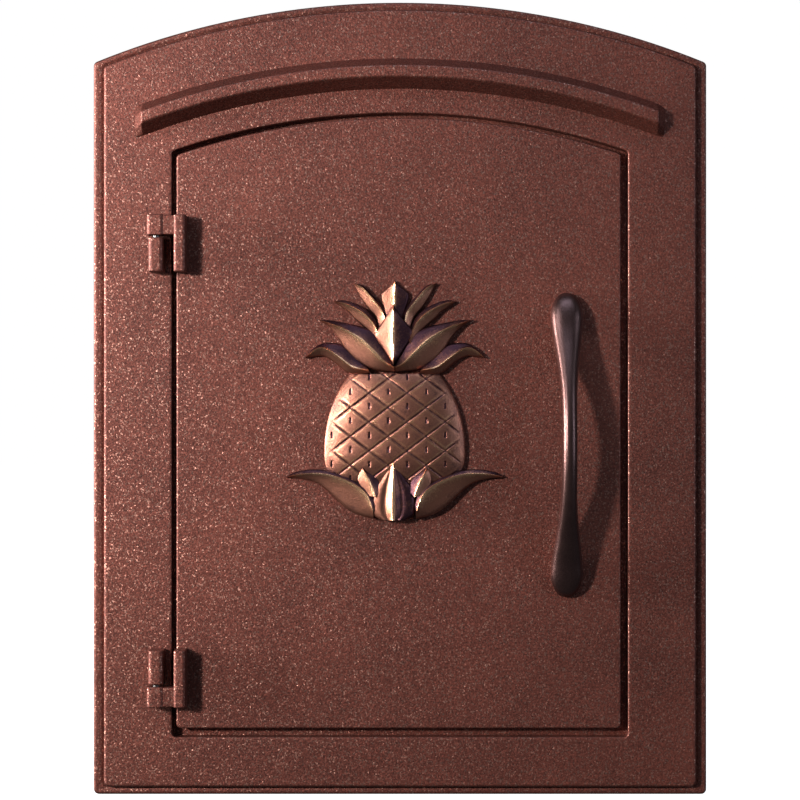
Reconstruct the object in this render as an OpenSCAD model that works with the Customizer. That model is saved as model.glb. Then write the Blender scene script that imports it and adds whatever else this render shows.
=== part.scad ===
// Recessed wall mailbox: an arched cast faceplate with a rain hood, a hinged
// arched door with a bow handle and a relief emblem, and a sheet-steel mail box
// behind the faceplate, inside the wall.
// Origin: on the wall plane, at the middle of the faceplate's bottom edge.
// +X to the right, +Y into the wall, +Z up. The front faces -Y. Millimetres.

/* [Faceplate] */
// Width of the faceplate
plate_w = 356; // [350:1:362]
// Height of the faceplate at the top of its arch
plate_h = 460; // [458:1:466]
// Radius of the arched top edge
plate_arch_r = 470; // [460:1:500]
// Distance from the wall to the front of the raised panel
plate_t = 9; // [8.6:0.1:9.4]
// Distance from the wall to the front of the outer border
border_t = 4.5; // [4:0.1:6]
// Width of the stepped border at the sides
border_w = 6.6; // [4:0.1:8]
// Width of the stepped border at the top and bottom
border_end = 5; // [4:0.1:8]
// Depth of the pocket cast in the back
pocket_d = 4.5; // [3:0.1:5]
// Width of the solid rim round the pocket
rim_w = 12; // [10:0.5:14]
// Radius of the bottom corners
corner_r = 3; // [2:0.5:4]

/* [Door opening] */
// Half the width of the door opening
opening_hw = 132; // [131:0.5:133]
// Height of the opening's bottom edge
opening_z = 34; // [33:0.5:35]
// Height of the opening at the top of its arch
opening_top = 395; // [394:0.5:397]
// Thickness of the stop lip that the door closes towards
lip_t = 3; // [2.5:0.1:3]
// Half the inner width of the stop lip
lip_hw = 120; // [119:0.5:120.5]

/* [Rain hood] */
// Half the length of the hood, at the panel
hood_hw = 153.3; // [145:0.1:156]
// How much the hood's ends slope inwards towards the front
hood_draft = 4.6; // [0:0.1:8]
// Height of the underside where it leaves the plate, at the middle
hood_low_z = 409; // [407:0.5:411]
// Height of the top edge where it meets the plate, at the middle
hood_top_z = 426.3; // [424:0.1:428]
// How far the hood stands out from the plate
hood_out = 10; // [7:0.5:12]

/* [Door] */
// Left edge of the door
door_x0 = -129.3; // [-130:0.1:-129]
// Right edge of the door
door_x1 = 127.7; // [127:0.1:129]
// Bottom edge of the door
door_z0 = 39; // [38:0.5:40]
// Height of the door at the top of its arch
door_top = 392.2; // [391:0.1:393]
// Thickness of the door
door_t = 6; // [5.5:0.1:6.2]

/* [Hinges] */
// Distance of the hinge pins from the middle, to the left
pin_x = 140; // [139.5:0.1:140.5]
// Distance of the hinge pins in front of the raised panel
pin_out = 7.5; // [7.5:0.1:8]
// Diameter of the hinge pins
pin_d = 4; // [3.6:0.1:4]
// Radial running clearance of the door's knuckles on the pins
pin_gap = 0.05; // [0.02:0.01:0.1]
// Middle height of the upper hinge
upper_hinge_z = 319; // [300:1:330]
// Middle height of the lower hinge
lower_hinge_z = 69.1; // [60:1:90]
// Height of each hinge
hinge_h = 32.8; // [30:0.1:36]

/* [Handle] */
// Middle of the handle, to the right
handle_x = 96; // [92:1:98]
// Middle height of the handle
handle_z = 203; // [195:1:210]
// Length of the handle
handle_l = 176; // [170:1:182]
// Height of the bow's centre line above the door, at the middle
handle_out = 26.5; // [24:0.5:28]
// Width of the feet
foot_w = 19.2; // [17:0.5:20]
// Width of the grip at the middle
grip_w = 8.6; // [8:0.1:10]

/* [Emblem] */
// Middle of the emblem, to the right
emblem_x = -3; // [-6:0.5:0]
// Height of the emblem's bottom edge
emblem_z = 159.5; // [155:0.5:165]
// Height of the relief at the middle of the fruit
relief = 9.5; // [9:0.1:10]

/* [Mail box] */
// Half the inner width of the mail box
box_hw = 122; // [121.5:0.1:122.5]
// Inner floor of the mail box
box_z0 = 44; // [43.5:0.1:44.5]
// Inner roof of the mail box
box_z1 = 358; // [357:0.5:359]
// Depth of the mail box behind the wall plane
box_depth = 300; // [260:5:330]
// Thickness of the steel sheet
sheet_t = 1.2; // [1:0.1:1.5]
// Width of the flange that is screwed to the faceplate
flange_w = 18; // [17:0.5:18.5]
// Diameter of the wall anchor holes
anchor_d = 7; // [6:0.5:8]
// Width between the wall anchor holes in the back
anchor_x = 180; // [150:5:200]
// Height between the wall anchor holes in the back
anchor_z = 220; // [180:5:240]
// Distance between the two anchor holes in each side
anchor_y = 160; // [120:5:180]

/* [Hidden] */
$fn = 64;
eps = 0.1;
bronze = "#6f443b";
copper = "#8a5a4c";
steel = "#b9bcbf";
zinc = "#c9c9c4";

ring_back = 2;                         // back of the surround that carries the mail box
ring_w = 20;                           // width of the surround round the opening
ring_hw = opening_hw + ring_w;
lip_y0 = ring_back - lip_t;            // front of the stop lip
door_y0 = -plate_t;                    // front of the door
door_y1 = -plate_t + door_t;           // back of the door
pin_y = -plate_t - pin_out;
pin_r = pin_d / 2;
flange_y1 = ring_back + sheet_t;       // back of the mail box flange
tray_hw = box_hw + sheet_t;            // outer half width of the tray
tray_y1 = box_depth - sheet_t;         // where the tray ends inside the back pan
mid_z = (box_z0 + box_z1) / 2;

// ---- shared shapes ---------------------------------------------------------

// A slab from y0 to y1 whose outline is a rectangle under an arc of radius r
// with its crown at height top.
module arched_slab(x0, x1, z0, top, r, y0, y1, round_r = 0) {
    intersection() {
        translate([x0, y0, z0])
            rounded_foot(x1 - x0, y1 - y0, top - z0 + 1, round_r);
        translate([0, y0 - 1, top - r])
            rotate([-90, 0, 0])
                cylinder(r = r, h = y1 - y0 + 2, $fn = 256);
    }
}

// A block whose two bottom corners are rounded about the Y axis.
module rounded_foot(w, t, h, r) {
    if (r > 0) {
        translate([0, 0, r]) cube([w, t, h - r]);
        translate([r, 0, 0]) cube([w - 2 * r, t, r + eps]);
        for (x = [r, w - r])
            translate([x, 0, r]) rotate([-90, 0, 0]) cylinder(r = r, h = t);
    } else {
        cube([w, t, h]);
    }
}

// A cylinder along +Y from y0 to y1.
module y_rod(x, z, d, y0, y1) {
    translate([x, y0, z]) rotate([-90, 0, 0]) cylinder(d = d, h = y1 - y0);
}

// A cylinder along +X from x0 to x1.
module x_rod(y, z, d, x0, x1) {
    translate([x0, y, z]) rotate([0, 90, 0]) cylinder(d = d, h = x1 - x0);
}

// A screw along -Z from the origin: the underside of its pan head is at z = 0.
module pan_screw(d, head_d, head_h, l) {
    difference() {
        union() {
            cylinder(d1 = head_d, d2 = head_d * 0.72, h = head_h);
            translate([0, 0, -l]) cylinder(d = d, h = l + eps);
        }
        cross_recess(head_h, head_d);
    }
}

// A countersunk screw along -Z from the origin: its flat face is at z = 0.
module flat_screw(d, head_d, l) {
    difference() {
        union() {
            translate([0, 0, -(head_d - d) / 2])
                cylinder(d1 = d, d2 = head_d, h = (head_d - d) / 2);
            translate([0, 0, -l]) cylinder(d = d, h = l - (head_d - d) / 2 + eps);
        }
        cross_recess(0, head_d);
    }
}

module cross_recess(z, head_d) {
    slot_w = head_d * 0.15;
    slot_l = head_d * 0.52;
    slot_d = head_d * 0.2;
    for (a = [0, 90])
        rotate([0, 0, a])
            translate([-slot_l / 2, -slot_w / 2, z - slot_d])
                cube([slot_l, slot_w, slot_d + 1]);
}

// ---- places of the fasteners -------------------------------------------------

flange_screw_x = box_hw + 14.5;
flange_screw_z = [54, 150, 246, 342];
lip_screw_l = sheet_t + lip_t - 0.4;   // short screws, where only the stop lip is behind
flange_screws = concat(
    [for (s = [-1, 1], z = flange_screw_z) [s * flange_screw_x, z, 7.5]],
    [for (x = [-80, 80]) [x, box_z0 - 17, 7.5]],
    [for (x = [-80, 80]) [x, box_z1 + 9, lip_screw_l]]);
tapped = 0.1;                          // how much wider a tapped hole is than its screw
frame_part = 19.6;                     // height of the frame knuckle
arm_part = 11.9;                       // height of the door's knuckle
leaf_w = 7;
leaf_x0 = door_x0 - 0.5;
leaf_out = 12.5;                       // how far the leaf stands out from the door
arm_back = -plate_t - 2;               // back of the arm, clear of the panel
knuckle_out = 12.3;
arm_screw_dz = 9;
arm_screw_x = leaf_x0 + leaf_w / 2 + 0.3;
knuckle_screw_dz = 5;
knuckle_seat_y = -2.5;                 // where the counterbores for their heads end
handle_screw_dz = 77;
handle_pilot = 7;
emblem_screws_at = [[-21, 45], [21, 45], [0, 105]];
strike_z = 210;
strike_x = 112.5;
strike_screw_dz = 23.5;
strike_hz = 28;
bumper_t = 1.6;
bumper_z = [66, 345];
bumper_x = [door_x0 + 5, door_x1 - 4];
catch_hole_dz = 23;
catch_hole_y = 14;
catch_screw_d = 2.9;

// ---- faceplate -----------------------------------------------------------------

// The hood: a cornice whose underside slopes outwards and whose top is steep.
module hood() {
    centre = plate_h - plate_arch_r;
    front_low = hood_low_z + 6;
    front_high = hood_top_z - 4.8;
    intersection() {
        translate([0, 0, 300])
            linear_extrude(200)
                polygon([
                    [-hood_hw, -plate_t + eps],
                    [hood_hw, -plate_t + eps],
                    [hood_hw - hood_draft, -plate_t - hood_out - 1],
                    [hood_draft - hood_hw, -plate_t - hood_out - 1]
                ]);
        translate([0, -plate_t + eps, centre])
            rotate([90, 0, 0])
                rotate_extrude($fn = 256)
                    polygon([
                        [hood_low_z - centre, 0],
                        [hood_top_z - centre, 0],
                        [hood_top_z - centre - 1.2, 2],
                        [front_high - centre, hood_out + eps],
                        [front_low - centre, hood_out + eps],
                        [hood_low_z - centre + 2.2, 3.5]
                    ]);
    }
}

module faceplate() {
    inset_hw = plate_w / 2 - border_w;
    ring_top = opening_top + ring_w - 4;
    color(bronze)
    difference() {
        union() {
            arched_slab(-plate_w / 2, plate_w / 2, 0, plate_h, plate_arch_r,
                        -border_t, 0, corner_r);
            arched_slab(-inset_hw, inset_hw, border_end, plate_h - border_end,
                        plate_arch_r - border_end, -plate_t, -border_t + eps, corner_r);
            arched_slab(-ring_hw, ring_hw, opening_z - 18, ring_top,
                        ring_top - plate_h + plate_arch_r, -border_t, ring_back);
            hood();
        }
        // pocket in the back, between the rim and the surround
        difference() {
            arched_slab(-plate_w / 2 + rim_w, plate_w / 2 - rim_w, rim_w, plate_h - rim_w,
                        plate_arch_r - rim_w, -pocket_d, eps);
            arched_slab(-ring_hw, ring_hw, opening_z - 18, ring_top,
                        ring_top - plate_h + plate_arch_r, -pocket_d - eps, 1);
            for (x = [-100, 0, 100])
                translate([x - 2, -pocket_d - 1, ring_top - 40]) cube([4, pocket_d + 1, 80]);
            for (s = [-1, 1], z = [110, 190, 270])
                translate([s * (ring_hw + 8) - 15, -pocket_d - 1, z - 2]) cube([30, pocket_d + 1, 4]);
        }
        // the door's recess, down to the stop lip
        arched_slab(-opening_hw, opening_hw, opening_z, opening_top,
                    opening_top - plate_h + plate_arch_r, -plate_t - 1, lip_y0, 2.5);
        // the mouth
        translate([-lip_hw, -plate_t, box_z0 + 2])
            cube([2 * lip_hw, plate_t + 5, box_z1 - box_z0 - 4]);
        for (p = flange_screws)
            y_rod(p[0], p[1], 3.6 + tapped, ring_back - 7, ring_back + 1);
        for (z = [upper_hinge_z, lower_hinge_z], s = [-1, 1]) {
            zc = frame_knuckle_z(z) + s * knuckle_screw_dz;
            y_rod(-pin_x, zc, 3.2, -plate_t - 1, ring_back);
            y_rod(-pin_x, zc, 7, knuckle_seat_y, ring_back + 1);
        }
    }
}

// ---- mail box ------------------------------------------------------------------

module flange_holes() {
    for (p = flange_screws) y_rod(p[0], p[1], 4.4, 0, 5);
}

// Floor and two sides, folded from one sheet, with a flange round the front.
module box_tray() {
    color(steel)
    difference() {
        union() {
            translate([-tray_hw, ring_back, box_z0 - sheet_t])
                cube([2 * tray_hw, tray_y1 - ring_back, sheet_t]);
            for (x = [-tray_hw, box_hw])
                translate([x, ring_back, box_z0 - sheet_t])
                    cube([sheet_t, tray_y1 - ring_back, box_z1 - box_z0 + sheet_t]);
            for (x = [-box_hw - flange_w, box_hw])
                translate([x, ring_back, box_z0 - sheet_t])
                    cube([flange_w, sheet_t, box_z1 - box_z0 + sheet_t]);
            translate([-tray_hw, ring_back, box_z0 - 22])
                cube([2 * tray_hw, sheet_t, 22]);
        }
        flange_holes();
        roof_rivet_holes();
        back_rivet_holes();
        for (s = [-1, 1], y = [-1, 1])
            x_rod(side_anchor_y + y * anchor_y / 2, mid_z, anchor_d,
                  s * (box_hw + sheet_t / 2) - 2, s * (box_hw + sheet_t / 2) + 2);
        for (s = [-1, 1])
            x_rod(catch_hole_y, strike_z + s * catch_hole_dz, catch_screw_d + tapped,
                  box_hw - 1, tray_hw + 1);
    }
}

side_anchor_y = box_depth / 2;

// Roof with a turned-down lap on each side and a flange at the front.
module box_roof() {
    lap = 16;
    out = tray_hw + sheet_t;
    color(steel)
    difference() {
        union() {
            translate([-out, flange_y1, box_z1])
                cube([2 * out, tray_y1 - flange_y1, sheet_t]);
            translate([-box_hw, ring_back, box_z1])
                cube([2 * box_hw, tray_y1 - ring_back, sheet_t]);
            for (x = [-out, tray_hw])
                translate([x, flange_y1, box_z1 - lap])
                    cube([sheet_t, tray_y1 - flange_y1, lap + eps]);
            translate([-box_hw, ring_back, box_z1])
                cube([2 * box_hw, sheet_t, flange_w]);
        }
        flange_holes();
        roof_rivet_holes();
    }
}

roof_rivet_y = [40, 110, 180, 250];
roof_rivet_z = box_z1 - 8;
back_lap = 12;
back_rivet_y = box_depth - 7;
back_rivet_z = [80, 160, 240, 320];
back_rivet_x = [-75, 0, 75];
rivet_d = 3.2;

module roof_rivet_holes() {
    for (s = [-1, 1], y = roof_rivet_y)
        x_rod(y, roof_rivet_z, rivet_d, s * tray_hw - 3, s * tray_hw + 3);
}

module back_rivet_holes() {
    for (s = [-1, 1], z = back_rivet_z)
        x_rod(back_rivet_y, z, rivet_d, s * tray_hw - 4, s * tray_hw + 4);
    for (x = back_rivet_x)
        translate([x, back_rivet_y, box_z0 - 5]) cylinder(d = rivet_d, h = 10);
}

// Shallow pan that closes the rear. Its rim laps over the tray from outside.
module box_back() {
    low = box_z0 - 2 * sheet_t;
    high = box_z1 - 18;
    out = tray_hw + sheet_t;
    color(steel)
    difference() {
        union() {
            translate([-out, tray_y1, low])
                cube([2 * out, sheet_t, box_z1 + sheet_t - low]);
            for (x = [-out, tray_hw])
                translate([x, box_depth - back_lap, low])
                    cube([sheet_t, back_lap, high - low]);
            translate([-out, box_depth - back_lap, low])
                cube([2 * out, back_lap, sheet_t]);
        }
        back_rivet_holes();
        for (x = [-1, 1], z = [-1, 1])
            y_rod(x * anchor_x / 2, mid_z + z * anchor_z / 2, anchor_d,
                  box_depth - 5, box_depth + 5);
    }
}

module box_flange_screws() {
    color(zinc)
    for (p = flange_screws)
        translate([p[0], flange_y1, p[1]]) rotate([-90, 0, 0])
            pan_screw(3.6, 7.6, 2.6, p[2]);
}

// A blind rivet through two sheets, along +Z: its dome sits on z = 0.
module rivet(grip) {
    intersection() {
        translate([0, 0, -3.2]) sphere(r = 4.4);
        cylinder(d = 6.4, h = 3);
    }
    translate([0, 0, -grip - 1]) cylinder(d = rivet_d, h = grip + 1 + eps);
    translate([0, 0, -grip - 1.4]) cylinder(d1 = 3.4, d2 = 4.8, h = 1.4);
}

module box_roof_rivets() {
    color(zinc)
    for (s = [-1, 1], y = roof_rivet_y)
        translate([s * (tray_hw + sheet_t), y, roof_rivet_z])
            rotate([0, s * 90, 0]) rivet(2 * sheet_t);
}

module box_back_rivets() {
    color(zinc) {
        for (s = [-1, 1], z = back_rivet_z)
            translate([s * (tray_hw + sheet_t), back_rivet_y, z])
                rotate([0, s * 90, 0]) rivet(2 * sheet_t);
        for (x = back_rivet_x)
            translate([x, back_rivet_y, box_z0 - 2 * sheet_t])
                rotate([180, 0, 0]) rivet(2 * sheet_t);
    }
}

// ---- hinges --------------------------------------------------------------------

// The upper hinge has the frame's knuckle below and the door's above; the lower
// hinge is its mirror image, so the door can't lift off.
function flip(z) = z > 200 ? 1 : -1;
function frame_knuckle_z(z) = z - flip(z) * (hinge_h - frame_part) / 2;
function arm_knuckle_z(z) = z + flip(z) * (hinge_h - arm_part) / 2;

// Block with four rounded upright edges, from z0 up.
module soft_block(x0, x1, y0, y1, h, r) {
    for (x = [x0 + r, x1 - r], y = [y0 + r, y1 - r])
        translate([x, y, 0]) cylinder(r = r, h = h);
    translate([x0 + r, y0, 0]) cube([x1 - x0 - 2 * r, y1 - y0, h]);
    translate([x0, y0 + r, 0]) cube([x1 - x0, y1 - y0 - 2 * r, h]);
}

module hinge_knuckle(z) {
    half = 4.6;
    z0 = frame_knuckle_z(z) - frame_part / 2;
    bore_z0 = flip(z) > 0 ? z - hinge_h / 2 + 3 : z - 10;
    difference() {
        union() {
            translate([0, 0, z0])
                soft_block(-pin_x - half, -pin_x + half, -plate_t - knuckle_out, -plate_t - 2,
                           frame_part, 1.2);
            translate([-pin_x - half, -plate_t - 4, z0]) cube([2 * half, 4, frame_part]);
        }
        translate([-pin_x, pin_y, bore_z0])
            cylinder(r = pin_r + 0.01, h = hinge_h / 2 + 7);
        for (s = [-1, 1])
            y_rod(-pin_x, frame_knuckle_z(z) + s * knuckle_screw_dz, 3 + tapped,
                  pin_y + pin_r + 0.8, -plate_t + 1);
    }
}

module hinge_pin(z) {
    pin_l = hinge_h - 3 - 0.6;
    z_mid = z + flip(z) * 1.2;
    color(steel) translate([-pin_x, pin_y, z_mid - pin_l / 2]) cylinder(r = pin_r, h = pin_l);
}

// The door's knuckle, its bridge and the leaf block on the door.
module hinge_arm(z) {
    half = 5.2;
    z0 = arm_knuckle_z(z) - arm_part / 2;
    difference() {
        union() {
            translate([0, 0, z0])
                soft_block(-pin_x - half, -pin_x + half, -plate_t - knuckle_out, arm_back,
                           arm_part, 1.8);
            translate([-pin_x, -plate_t - knuckle_out + 0.6, z0])
                cube([leaf_x0 + pin_x + 2, knuckle_out - 2.6, arm_part]);
            translate([0, 0, z - hinge_h / 2])
                soft_block(leaf_x0, leaf_x0 + leaf_w, -plate_t - leaf_out, -plate_t - 2, hinge_h, 1);
            translate([leaf_x0, -plate_t - 4, z - hinge_h / 2])
                cube([leaf_w, 4, hinge_h]);
        }
        translate([-pin_x, pin_y, z0 - 1]) cylinder(r = pin_r + pin_gap, h = arm_part + 2);
        for (s = [-1, 1])
            y_rod(arm_screw_x, z + s * arm_screw_dz, 3 + tapped,
                  -plate_t - 6.5, -plate_t + 1);
    }
}

module upper_hinge_knuckle() { color(bronze) hinge_knuckle(upper_hinge_z); }
module lower_hinge_knuckle() { color(bronze) hinge_knuckle(lower_hinge_z); }
module upper_hinge_pin() { hinge_pin(upper_hinge_z); }
module lower_hinge_pin() { hinge_pin(lower_hinge_z); }
module upper_hinge_arm() { color(bronze) hinge_arm(upper_hinge_z); }
module lower_hinge_arm() { color(bronze) hinge_arm(lower_hinge_z); }

module knuckle_screws() {
    color(zinc)
    for (z = [upper_hinge_z, lower_hinge_z], s = [-1, 1])
        translate([-pin_x, knuckle_seat_y, frame_knuckle_z(z) + s * knuckle_screw_dz])
            rotate([-90, 0, 0])
                pan_screw(3, 5.8, 2.2, knuckle_seat_y - pin_y - pin_r - 1.3);
}

module hinge_arm_screws() {
    color(zinc)
    for (z = [upper_hinge_z, lower_hinge_z], s = [-1, 1])
        translate([arm_screw_x, door_y1, z + s * arm_screw_dz])
            rotate([-90, 0, 0]) flat_screw(3, 6, door_t + 5.5);
}

// ---- catch and bumpers ------------------------------------------------------------

catch_x0 = strike_x - 6.5;
catch_x1 = lip_hw - 0.6;
catch_hz = 18;
catch_ear_hz = 28;
catch_y0 = -0.6;
catch_y1 = 22;
pocket_x0 = strike_x - 4.5;
pocket_hz = 13;

module catch_housing() {
    color("#2b2b2d")
    difference() {
        union() {
            translate([catch_x0, catch_y0, strike_z - catch_hz])
                cube([catch_x1 - catch_x0 + eps, catch_y1 - catch_y0, 2 * catch_hz]);
            translate([catch_x1, flange_y1 + 1, strike_z - catch_ear_hz])
                cube([box_hw - catch_x1, catch_y1 - flange_y1 - 1, 2 * catch_ear_hz]);
        }
        translate([pocket_x0, catch_y0 - 1, strike_z - pocket_hz])
            cube([9, 17.6, 2 * pocket_hz]);
        for (s = [-1, 1])
            x_rod(catch_hole_y, strike_z + s * catch_hole_dz, 3.4, catch_x1 - 1, box_hw + 1);
    }
}

module catch_magnet() {
    color("#4a4a4c")
    translate([pocket_x0 + 1.5, 0.2, strike_z - pocket_hz]) cube([6, 15.8, 2 * pocket_hz]);
}

module catch_pole_plates() {
    color(steel)
    for (x = [pocket_x0, pocket_x0 + 7.5])
        translate([x, -1.4, strike_z - pocket_hz]) cube([1.5, 17.4, 2 * pocket_hz]);
}

module catch_screws() {
    color(zinc)
    for (s = [-1, 1])
        translate([catch_x1, catch_hole_y, strike_z + s * catch_hole_dz])
            rotate([0, -90, 0]) pan_screw(catch_screw_d, 6, 2, 7.5);
}

module door_bumpers() {
    color("#1d1d1e")
    for (x = bumper_x, z = bumper_z)
        translate([x, lip_y0, z]) rotate([90, 0, 0])
            cylinder(d1 = 6.4, d2 = 5.2, h = bumper_t);
}

// ---- door ----------------------------------------------------------------------

module door_panel() {
    r = door_top - plate_h + plate_arch_r;
    color(bronze)
    difference() {
        arched_slab(door_x0, door_x1, door_z0, door_top, r, door_y0, door_y1, 2);
        for (z = [upper_hinge_z, lower_hinge_z], s = [-1, 1])
            translate([arm_screw_x, door_y1, z + s * arm_screw_dz]) {
                rotate([90, 0, 0]) translate([0, 0, -1]) cylinder(d = 3.3, h = door_t + 2);
                rotate([90, 0, 0]) cylinder(d1 = 6.3, d2 = 3.3, h = 1.6);
            }
        for (s = [-1, 1])
            y_rod(handle_x, handle_z + s * handle_screw_dz, 4.4, door_y0 - 1, door_y1 + 1);
        for (p = emblem_screws_at)
            y_rod(emblem_x + p[0], emblem_z + p[1], 3.4, door_y0 - 1, door_y1 + 1);
        for (s = [-1, 1])
            y_rod(strike_x, strike_z + s * strike_screw_dz, 2.9 + tapped,
                  door_y1 - 4, door_y1 + 1);
    }
}

module strike_plate() {
    color(steel)
    difference() {
        translate([strike_x - 6, door_y1, strike_z - strike_hz])
            cube([12, 1.2, 2 * strike_hz]);
        for (s = [-1, 1])
            y_rod(strike_x, strike_z + s * strike_screw_dz, 3.1, door_y1 - 1, door_y1 + 3);
    }
}

module strike_screws() {
    color(zinc)
    for (s = [-1, 1])
        translate([strike_x, door_y1 + 1.2, strike_z + s * strike_screw_dz])
            rotate([-90, 0, 0]) pan_screw(2.9, 5.2, 1.3, 4.8);
}

// ---- handle --------------------------------------------------------------------

handle_rings = 32;
handle_sides = 20;
foot_from = 0.8;                       // where the feet begin, as a share of half the length
foot_out = 4;                          // height of the centre line over the feet

// t runs from -1 at the lower end to 1 at the upper end.
function end_scale(t) = abs(t) < foot_from ? 1
    : sqrt(max(0.0016, 1 - pow((abs(t) - foot_from) / (1 - foot_from), 2.4)));
function bow_out(t) = foot_out * end_scale(t)
    + (handle_out - foot_out) * pow(max(0, 1 - pow(abs(t) / 0.86, 2)), 1.25);
function bow_w(t) = end_scale(t) *
    (grip_w + (foot_w - grip_w) * pow(min(1, abs(t) / 0.84), 2.2));
function bow_t(t) = end_scale(t) * (9.4 + 3.4 * pow(abs(t), 1.5));
function ring_t(i) = let (u = -1 + 2 * i / (handle_rings - 1)) sin(90 * u) * 0.35 + u * 0.65;
function bow_slope(t) =
    atan2(bow_out(t + 0.002) - bow_out(t - 0.002), 0.002 * handle_l);
function squash(v) = sign(v) * pow(abs(v), 0.86);

module pull_handle() {
    points = [for (i = [0:handle_rings - 1], k = [0:handle_sides - 1])
        let (t = ring_t(i), a = 360 * k / handle_sides, s = bow_slope(t) * end_scale(t),
             u = squash(cos(a)) * bow_w(t) / 2, v = squash(sin(a)) * bow_t(t) / 2)
        [handle_x + u,
         -plate_t - bow_out(t) - v * cos(s),
         handle_z + t * handle_l / 2 - v * sin(s)]];
    last = handle_rings - 1;
    faces = concat(
        [[for (k = [0:handle_sides - 1]) k]],
        [for (i = [0:last - 1], k = [0:handle_sides - 1])
            let (n = (k + 1) % handle_sides)
            [i * handle_sides + k, (i + 1) * handle_sides + k,
             (i + 1) * handle_sides + n, i * handle_sides + n]],
        [[for (k = [handle_sides - 1:-1:0]) last * handle_sides + k]]);
    color(bronze)
    difference() {
        polyhedron(points, faces, convexity = 4);
        translate([handle_x - 20, -plate_t, handle_z - handle_l]) cube([40, 20, 2 * handle_l]);
        for (s = [-1, 1])
            y_rod(handle_x, handle_z + s * handle_screw_dz, 4 + tapped,
                  -plate_t - handle_pilot, -plate_t + 1);
    }
}

module handle_washers() {
    color(zinc)
    for (s = [-1, 1])
        difference() {
            y_rod(handle_x, handle_z + s * handle_screw_dz, 9, door_y1, door_y1 + 0.8);
            y_rod(handle_x, handle_z + s * handle_screw_dz, 4.3, door_y1 - 1, door_y1 + 2);
        }
}

module handle_screws() {
    color(zinc)
    for (s = [-1, 1])
        translate([handle_x, door_y1 + 0.8, handle_z + s * handle_screw_dz])
            rotate([-90, 0, 0]) pan_screw(4, 7.6, 1.5, 0.8 + door_t + 6.5);
}

// ---- emblem --------------------------------------------------------------------

// A point on the quadratic curve from a to c that is drawn towards b.
function bend(a, b, c, t) = (1 - t) * (1 - t) * a + 2 * t * (1 - t) * b + t * t * c;
leaf_steps = 8;

// Outline of a leaf: one edge from its root to the tip, then the other edge back.
function leaf_outline(tip, up_pull, up_root, low_pull, low_root) = concat(
    [for (i = [0:leaf_steps]) bend(up_root, up_pull, tip, i / leaf_steps)],
    [for (i = [leaf_steps - 1:-1:0]) bend(low_root, low_pull, tip, i / leaf_steps)]);

// Crown and base leaves: tip, pull and root of the upper edge, pull and root of
// the lower edge, height of the relief. Each is mirrored to the other side.
side_leaves = [
    [[-23, 136.5], [-6, 132], [-3, 108], [-13, 122], [-9, 106], 4.5],
    [[-35, 125.5], [-18, 129], [-6, 100], [-15.5, 112], [-9, 98], 5.2],
    [[-43.5, 115.5], [-17.6, 113], [0, 90], [-29, 101], [-13, 84], 6.4],
    [[-51.5, 93.6], [-40.7, 114], [-14, 90], [-36, 96], [-20, 79], 5.4],
    [[-18.3, 31], [-14, 26], [-8, 12], [-20, 22], [-20, 10], 6.0],
    [[-63.5, 23.5], [-37, 33], [-12, 12], [-37, 14], [-12, 0.4], 7.2]
];

module leaf(shape) {
    linear_extrude(height = shape[5])
        polygon(leaf_outline(shape[0], shape[1], shape[2], shape[3], shape[4]));
}

// Fruit: a flat-backed dome whose sides bulge.
module fruit() {
    half = [for (i = [0:12]) let (z = 12 + 73 * i / 12, u = (z - 34) / 51)
        [41 - (z > 34 ? 15 * pow(u, 2.6) : 5 * pow((34 - z) / 22, 2)), z]];
    intersection() {
        linear_extrude(height = relief)
            polygon(concat([for (p = half) p],
                           [for (i = [12:-1:0]) [-half[i][0], half[i][1]]]));
        translate([0, 48, relief - 150]) sphere(r = 150, $fn = 128);
    }
}

module pineapple_emblem() {
    color(copper)
    translate([emblem_x, -plate_t, emblem_z]) rotate([90, 0, 0])
    difference() {
        union() {
            fruit();
            for (shape = side_leaves) {
                leaf(shape);
                mirror([1, 0, 0]) leaf(shape);
            }
            // back and front crown leaves, and the middle base leaf
            linear_extrude(height = 3.6)
                polygon([[0, 137.5], [-4, 133], [-9.5, 128], [-6, 100], [6, 100], [9.5, 128], [4, 133]]);
            linear_extrude(height = 8.2)
                polygon([[0, 123.5], [-6, 115], [-11, 106], [-6, 96], [0, 88], [6, 96], [11, 106], [6, 115]]);
            linear_extrude(height = 9)
                polygon([[0, 35.7], [-5, 28], [-11, 17], [-13, 8], [-13, 0.6], [13, 0.6],
                         [13, 8], [11, 17], [5, 28]]);
            // the web that joins the crown leaves
            linear_extrude(height = 3)
                polygon([[-20, 82], [20, 82], [24, 92], [10, 116], [-10, 116], [-24, 92]]);
        }
        for (p = emblem_screws_at)
            translate([p[0], p[1], -1]) cylinder(d = 3 + tapped, h = 6);
    }
}

module emblem_screws() {
    color(zinc)
    for (p = emblem_screws_at)
        translate([emblem_x + p[0], door_y1, emblem_z + p[1]])
            rotate([-90, 0, 0]) pan_screw(3, 6, 1.9, door_t + 4.6);
}

// ---- assembly ------------------------------------------------------------------

faceplate();
box_tray();
box_roof();
box_back();
box_flange_screws();
box_roof_rivets();
box_back_rivets();
upper_hinge_knuckle();
lower_hinge_knuckle();
upper_hinge_pin();
lower_hinge_pin();
knuckle_screws();
catch_housing();
catch_magnet();
catch_pole_plates();
catch_screws();
door_bumpers();
door_panel();
upper_hinge_arm();
lower_hinge_arm();
hinge_arm_screws();
pull_handle();
handle_screws();
handle_washers();
pineapple_emblem();
emblem_screws();
strike_plate();
strike_screws();
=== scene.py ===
"""Builds the looks of a recessed wall mailbox round its CAD frame, laid out as a Blender add-on."""
import math

import bmesh
import bpy
from bpy.props import FloatProperty, FloatVectorProperty, PointerProperty
from bpy.types import Operator, Panel, PropertyGroup
from mathutils import Matrix, Vector
from mathutils.bvhtree import BVHTree


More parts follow.
